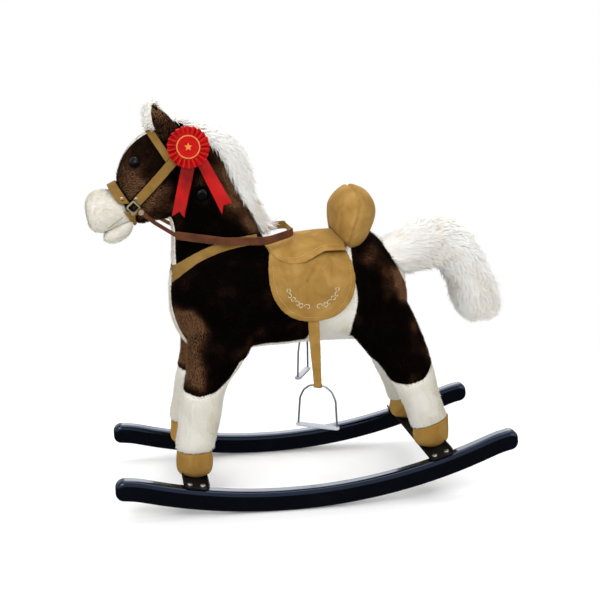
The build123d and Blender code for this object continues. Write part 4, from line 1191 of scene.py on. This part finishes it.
class HORSE_OT_rosette(bpy.types.Operator):
    """Pleat the satin rosette, its disc and its ribbons"""

    bl_idname = "horse.rosette"
    bl_label = "Rosette"

    def execute(self, context):
        look = context.scene.horse_tack
        red = felt(look)
        facing = Vector(ROSETTE_FACING).normalized()
        right = Vector((0, 0, 1)).cross(facing).normalized()
        turn = Matrix((right, facing.cross(right), facing)).transposed().to_4x4()
        self.place = Matrix.Translation(Vector(ROSETTE_CENTRE) * MM) @ turn
        self.ruffle(satin(look, "red_satin", depth=1.0, fold=16.67), *self.depth_of("rosette_ruffle"))
        disc = soft_form("rosette_disc_felt", ["rosette_disc"], [red], voxel=0.9, relax=3)
        soft_form("rosette_backing", ["rosette_pad"], [red], voxel=1.0, relax=2)
        self.motif(thread("gold_thread", look.gold), self.depth_of("rosette_disc")[1])
        # The ribbon tails take a darker copy of the satin, as painted shade where they hang.
        self.ribbons(satin(look, "red_satin_ribbon", depth=0.85, fold=38.46))
        return {"FINISHED"}

    def depth_of(self, node):
        """Back and front of a node along the way the rosette faces."""
        inverse = self.place.inverted()
        deep = [(inverse @ vert.co).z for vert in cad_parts[node].data.vertices]
        return min(deep), max(deep)

    def ruffle(self, cloth, low, high):
        bm = bmesh.new()
        bmesh.ops.create_circle(bm, cap_ends=False, segments=PLEATS * PLEAT_STEPS, radius=16 * MM)
        rim = list(bm.edges)
        for radius in np.linspace(18, 35, 9):
            verts, rim = grow_rim(bm, rim)
            for vert in verts:
                vert.co = vert.co.normalized() * radius * MM
        middle, half = (low + high) / 2, (high - low) / 2
        for vert in bm.verts:
            radius = vert.co.length / MM
            turn = math.atan2(vert.co.y, vert.co.x)
            phase = turn / (2 * math.pi) * PLEATS + 0.12 * noise.noise(Vector((turn * 3, 0.0, 0.0)))
            t = phase - math.floor(phase)
            fold = 1.0 - abs(2 * t - 1) ** 1.6 if t < 0.5 else (2 * (1 - t)) ** 2.2
            open_up = min(1.0, (radius - 14) / 14)
            height = middle + half * (0.85 * open_up * (2 * fold - 1))
            away = radius * (1.0 - 0.035 * open_up * (1 - fold)) * MM
            turn += 0.06 * open_up * fold
            vert.co = (away * math.cos(turn), away * math.sin(turn), height)
        bmesh.ops.recalc_face_normals(bm, faces=bm.faces)
        bmesh.ops.transform(bm, matrix=self.place, verts=bm.verts)
        mesh = mesh_from(bm, "rosette_pleats")
        piece = new_piece("rosette_pleats", mesh, [cloth], "horse", ["rosette_ruffle"])
        thicken(piece)

    def motif(self, gold, front):
        bm = bmesh.new()
        bmesh.ops.create_circle(
            bm, cap_ends=False, segments=8, radius=1.0 * MM,
            matrix=Matrix.Translation((18.4 * MM, 0, 0)) @ Matrix.Rotation(math.pi / 2, 4, "X"),
        )
        bmesh.ops.spin(
            bm, geom=bm.verts[:] + bm.edges[:], cent=(0, 0, 0), axis=(0, 0, 1), angle=2 * math.pi, steps=72,
            use_merge=True,
        )
        bmesh.ops.remove_doubles(bm, verts=bm.verts, dist=MERGE)
        star = bmesh.ops.create_circle(bm, cap_ends=True, segments=10, radius=7 * MM)["verts"]
        for number, vert in enumerate(star):
            vert.co *= 0.45 if number % 2 else 1.0
        outline = [face for face in bm.faces if len(face.verts) == 10]
        bmesh.ops.inset_region(bm, faces=outline, thickness=1.1 * MM, depth=0.5 * MM)
        bmesh.ops.recalc_face_normals(bm, faces=bm.faces)
        bmesh.ops.transform(bm, matrix=self.place @ Matrix.Translation((0, 0, front)), verts=bm.verts)
        new_piece("rosette_gold_ring", mesh_from(bm, "rosette_gold_ring", smooth=False), [gold])

    def ribbons(self, cloth):
        low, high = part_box("rosette_ribbons")
        depth = (low[1] + high[1]) / 2
        for number, (word, (top_a, top_b, end_a, notch, end_b)) in enumerate(RIBBON_TAILS.items()):
            bm = bmesh.new()
            grid = bmesh.ops.create_grid(bm, x_segments=10, y_segments=44, size=1.0)["verts"]
            for vert in grid:
                s, t = (vert.co.x + 1) / 2, (1 - vert.co.y) / 2
                x, z = (
                    np.interp(s, [0, 0.5, 1], [end_a[k], notch[k], end_b[k]]) * t
                    + (top_a[k] * (1 - s) + top_b[k] * s) * (1 - t)
                    for k in (0, 1)
                )
                wave = 2.2 * math.sin(7.0 * t + 1.5 * number) * t + 1.2 * math.sin(math.pi * s) - 2.4 * t ** 2
                wave += (2.2 * (s - 0.5) * math.sin(5.0 * t + 2.2 * number)) * min(1.0, 2 * t)
                vert.co = (x * MM, depth - (wave + 1.2 * number) * MM, z * MM)
            bmesh.ops.recalc_face_normals(bm, faces=bm.faces)
            mesh = mesh_from(bm, f"{word}_ribbon_tail")
            piece = new_piece(f"{word}_ribbon_tail", mesh, [cloth], "horse", ["rosette_ribbons"])
            thicken(piece)


class HORSE_OT_coat(bpy.types.Operator):
    """Sew the stuffed body, neck, head and legs into one pinto skin, with muzzle, lip, ears and hooves"""

    bl_idname = "horse.coat"
    bl_label = "Stuffed coat"

    def execute(self, context):
        look = context.scene.horse_plush
        pinto = pinto_plush(look)
        white = white_plush("white_plush_backing", look.white_cream, look.white_soft, look.white_clean)
        skin = soft_form(
            "stuffed_skin", STUFFED, [pinto], voxel=3.6, relax=6, fill=INSIDE, outer=True
        )
        ruffle_up(skin, height=1.2, size=45, seed=2.0)
        self.mouth(white)
        self.ears(pinto)
        hooves = self.hooves(suede(context.scene.horse_tack, "golden_suede_hoof", dye=1.0))
        for piece in (skin, hooves["left_hind_hoof"], hooves["right_hind_hoof"]):
            places = points_of(piece.data)[0]
            places[:, 2] += heel_rise(places)
            move_points(piece.data, places)
        store(skin.data, "white_edge", np.clip(pinto_edge(*points_of(skin.data)), -30, 30))
        return {"FINISHED"}

    def mouth(self, white):
        muzzle = soft_form("muzzle_stuffed", ["muzzle"], [white], voxel=2.6, relax=4)
        lip = soft_form("lower_lip_stuffed", ["lower_lip"], [white], voxel=2.0, relax=3)
        for piece in (muzzle, lip):
            swell(piece, pressure=3.0, cap=1.5)
        # The dark stitches along the mouth are painted shadow: they stand for the shade in the gap between muzzle and
        # lower lip.
        dark = thread("dark_mouth_thread", linear("#2a1a10"))
        face = surface_of(muzzle, lip)
        for word, side in SIDES.items():
            sewn_line(f"{word}_mouth_stitches", face, MOUTH_LINE, side, dark, pitch=2.4, size=(1.6, 0.6), lift=1.6)

    def ears(self, pinto):
        for word, side in SIDES.items():
            ear = soft_form(f"{word}_ear_plush", [f"{word}_ear"], [pinto], voxel=1.6, relax=3)
            inward = np.array([-0.5, -0.85 * side, 0.1])
            store(ear.data, "white_edge", 30.0 * (points_of(ear.data)[1] @ inward - 0.3))

    def hooves(self, hide):
        made = {}
        for node in HOOVES:
            made[node] = soft_form(f"{node}_suede", [node], [hide], voxel=2.0, relax=4)
            ruffle_up(made[node], height=0.7, size=16, seed=8.0)
        return made


class HORSE_OT_pile(bpy.types.Operator):
    """Grow the short plush pile over the coat, muzzle and ears"""

    bl_idname = "horse.pile"
    bl_label = "Plush pile"

    def execute(self, context):
        look = context.scene.horse_plush
        covers = ("_suede", "_pad", "_panel", "_cushion", "_strap", "_felt", "_backing", "_tail", "muzzle_stuffed")
        pressing = [piece for piece in bpy.data.objects if piece.type == "MESH" and piece.name.endswith(covers)]
        pressing += [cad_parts[node] for node in HARD_BITS]
        brown = pile_shades(
            "brown_pile", look.brown_sheen, 0.35, look.brown_deep, look.brown_dark, look.brown_mid, look.brown_warm,
            look.painted_sheen_brown, look.painted_sheen_pale, look.painted_sheen_fawn,
        )
        white = pile_shades("white_pile", look.white_clean, 0.2, look.white_cream, look.white_soft, look.white_clean)
        self.blade = tuft("pile_tuft", rows=2, bow=0.12, taper=1.6)
        self.density = look.pile_per_cm2 * 1.0
        self.size = (PILE_WIDTH * MM, look.pile)
        self.coat(pressing, brown, white, look.seed)
        self.mouth(pressing, white, look.seed + 60)
        self.ears(brown, look.seed + 80)
        bpy.data.objects.remove(self.blade)
        return {"FINISHED"}

    def grow(self, name, base, cover, shades, rise, seed, slot, fine=1.0):
        """Grow pile on a piece, in narrower tufts where it is finer."""
        size = (self.size[0] / fine ** 0.5, self.size[1])
        density = self.density * fine
        grow_pile(name, base, cover, self.blade, density, size, shades, rise, PILE_STRAY, seed)

    def coat(self, pressing, brown, white, seed):
        skin = bpy.data.objects["stuffed_skin"]
        places, normals = points_of(skin.data)
        x, y, z = (places / MM).T
        edge = recall(skin.data, "white_edge")
        legs, face, dock = z < 250, (x < -228) & (z > 480), (x > 140) & (z > 352) & (edge > 0)
        flow = np.tile(np.array([0.55, 0.0, -0.75]), (len(places), 1))
        flow[legs] = (0.12, 0.0, -1.0)
        flow[face] = (0.8, 0.0, 0.25)
        flow[dock] = (0.7, 0.0, 0.7)
        store(skin.data, "lay", nap_lay(normals, flow))
        # Pile is short beside whatever presses on it, shortest in the button's well, and long about the dock.
        room = np.clip((gap_to(surface_of(*pressing), places, far=9) - 1.2) / 5.0, 0, 1)
        well = gap_to(surface_of(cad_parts["neck_button"]), places, far=12)
        room *= np.clip((well - 4.0) / 6.0, 0, 1)
        plume = np.exp(-((x - 172) ** 2 + (0.7 * y) ** 2 + (z - 420) ** 2) / 46.0 ** 2) * (edge > -1)
        store(skin.data, "pile", room * (1.0 + 1.8 * plume) * np.clip(np.abs(edge) / 7.0, 0.4, 1.0))
        # Painted sheen: the brown nap is coloured lighter where light grazes it, and the white is set a little lighter
        # throughout.
        store(skin.data, "warm", np.where(edge > 0, 0.05, painted_nap_sheen(places)))
        open_air = (room > 0.12).astype(float)
        dark = np.clip(0.6 - edge / 2.0, 0, 1) * open_air
        fore = x < -40
        high = (z > 455) & fore
        store(skin.data, "cover_head", dark * high)
        store(skin.data, "cover_fore", dark * (~high) * fore)
        store(skin.data, "cover_hind", dark * ~fore)
        store(skin.data, "cover_white", np.clip(edge / 2.0 - 0.6, 0, 1) * open_air)
        for number, (part, fine) in enumerate({"head": 1.7, "fore": 1.3, "hind": 1.3}.items()):
            self.grow(
                f"brown_pile_{part}", skin, f"cover_{part}", brown, rise=0.42, seed=seed + 10 * number,
                slot="brown_plush", fine=fine,
            )
        self.grow("white_pile_coat", skin, "cover_white", white, rise=0.42, seed=seed + 40, slot="white_plush")

    def mouth(self, pressing, white, seed):
        lip = bpy.data.objects["lower_lip_stuffed"]
        for piece in (bpy.data.objects["muzzle_stuffed"], lip):
            places, normals = points_of(piece.data)
            store(piece.data, "lay", nap_lay(normals, np.array([0.9, 0.0, 0.1])))
            others = surface_of(*(other for other in (*pressing, lip) if other != piece))
            room = np.clip((gap_to(others, places, far=9) - 0.6) / 4.0, 0, 1)
            store(piece.data, "pile", room * 0.75)
            store(piece.data, "cover", (room > 0.1).astype(float))
            name = piece.name.replace("_stuffed", "_pile")
            self.grow(name, piece, "cover", white, rise=0.4, seed=seed, slot="white_plush")

    def ears(self, brown, seed):
        for word in SIDES:
            ear = bpy.data.objects[f"{word}_ear_plush"]
            normals = points_of(ear.data)[1]
            store(ear.data, "lay", nap_lay(normals, np.array([0.1, 0.0, 1.0])))
            store(ear.data, "pile", np.full(len(normals), 0.7))
            # The ears' pile is coloured lighter throughout, as painted light against the shade it sits in.
            store(ear.data, "warm", np.full(len(normals), 0.14))
            store(ear.data, "cover", (recall(ear.data, "white_edge") < 0).astype(float))
            self.grow(f"{word}_ear_pile", ear, "cover", brown, rise=0.35, seed=seed, slot="brown_plush")


class HORSE_OT_mane(bpy.types.Operator):
    """Comb out the mane, the forelock and the tail"""

    bl_idname = "horse.mane"
    bl_label = "Mane, forelock and tail"

    def execute(self, context):
        look = context.scene.horse_plush
        fluff = white_plush("white_long_pile_backing", look.lock_cream, look.lock_soft, look.lock_clean)
        shades = pile_shades("white_locks", look.lock_clean, 0.85, look.lock_cream, look.lock_soft, look.lock_clean)
        lock = tuft("long_lock", rows=2, bow=0.18, taper=1.8, ridge=0.06)
        density = LOCKS_PER_CM2 * 1.0
        for node, (guide, setting, share, stray) in COMBED.items():
            core = soft_form(f"{node}_fluff_core", [node], [fluff], voxel=3.0, relax=5)
            places, normals = points_of(core.data)
            lumps = roll(places, size=22, seed=1.0)
            places = places - normals * (LOCK_SINK - 2.0 * lumps)[:, None] * MM
            if node == "tail":
                places = places + self.root_shift(places)
            move_points(core.data, places)
            places, normals = points_of(core.data)
            store(core.data, "lay", nap_lay(normals, guide_flow(places, guide)))
            store(core.data, "pile", self.tail_fullness(places) if node == "tail" else np.ones(len(places)))
            store(core.data, "cover", np.ones(len(places)))
            grow_pile(
                f"{node}_locks", core, "cover", lock, density, (LOCK_WIDTH * MM, getattr(look, setting) * share),
                shades, rise=0.18, spread=stray, seed=look.seed + len(node),
            )
        bpy.data.objects.remove(lock)
        return {"FINISHED"}

    def root_shift(self, places):
        """How far the tail's root is drawn into the rump, in metres."""
        x, y, _ = (places / MM).T
        root = np.clip((212 - x) / 40, 0, 1)[:, None]
        return root * np.column_stack([-18.0 - 0.024 * y ** 2, np.zeros_like(y), np.full_like(y, -5.0)]) * MM

    def tail_fullness(self, places):
        """Share of the full lock length along the tail, short at its root and towards its end."""
        x, _, z = (places / MM).T
        return np.clip((x - 120) / 90, 0.35, 1.0) * np.clip((z - 225) / 110, 0.55, 1.0)


class HORSE_PT_panel(bpy.types.Panel):
    """Lists the steps that dress the horse"""

    bl_idname = "HORSE_PT_panel"
    bl_label = "Rocking Horse"
    bl_space_type = "VIEW_3D"
    bl_region_type = "UI"
    bl_category = "Horse"

    def draw(self, context):
        for step in STEPS:
            self.layout.operator(step.bl_idname, text=step.bl_label)


LOOKS = {"horse_plush": PlushLook, "horse_tack": TackLook, "horse_base": BaseLook, "horse_stage": StageLook}
STEPS = [
    HORSE_OT_stage, HORSE_OT_base, HORSE_OT_saddle, HORSE_OT_bridle, HORSE_OT_rosette, HORSE_OT_coat,
    HORSE_OT_pile, HORSE_OT_mane,
]


def register():
    for kind in (*LOOKS.values(), *STEPS, HORSE_PT_panel):
        bpy.utils.register_class(kind)
    for name, kind in LOOKS.items():
        setattr(bpy.types.Scene, name, PointerProperty(type=kind))


def unregister():
    for name in LOOKS:
        delattr(bpy.types.Scene, name)
    for kind in reversed((*LOOKS.values(), *STEPS, HORSE_PT_panel)):
        bpy.utils.unregister_class(kind)


def main():
    register()
    for step in STEPS:
        group, name = step.bl_idname.split(".")
        getattr(getattr(bpy.ops, group), name)()


if __name__ == "__main__":
    main()
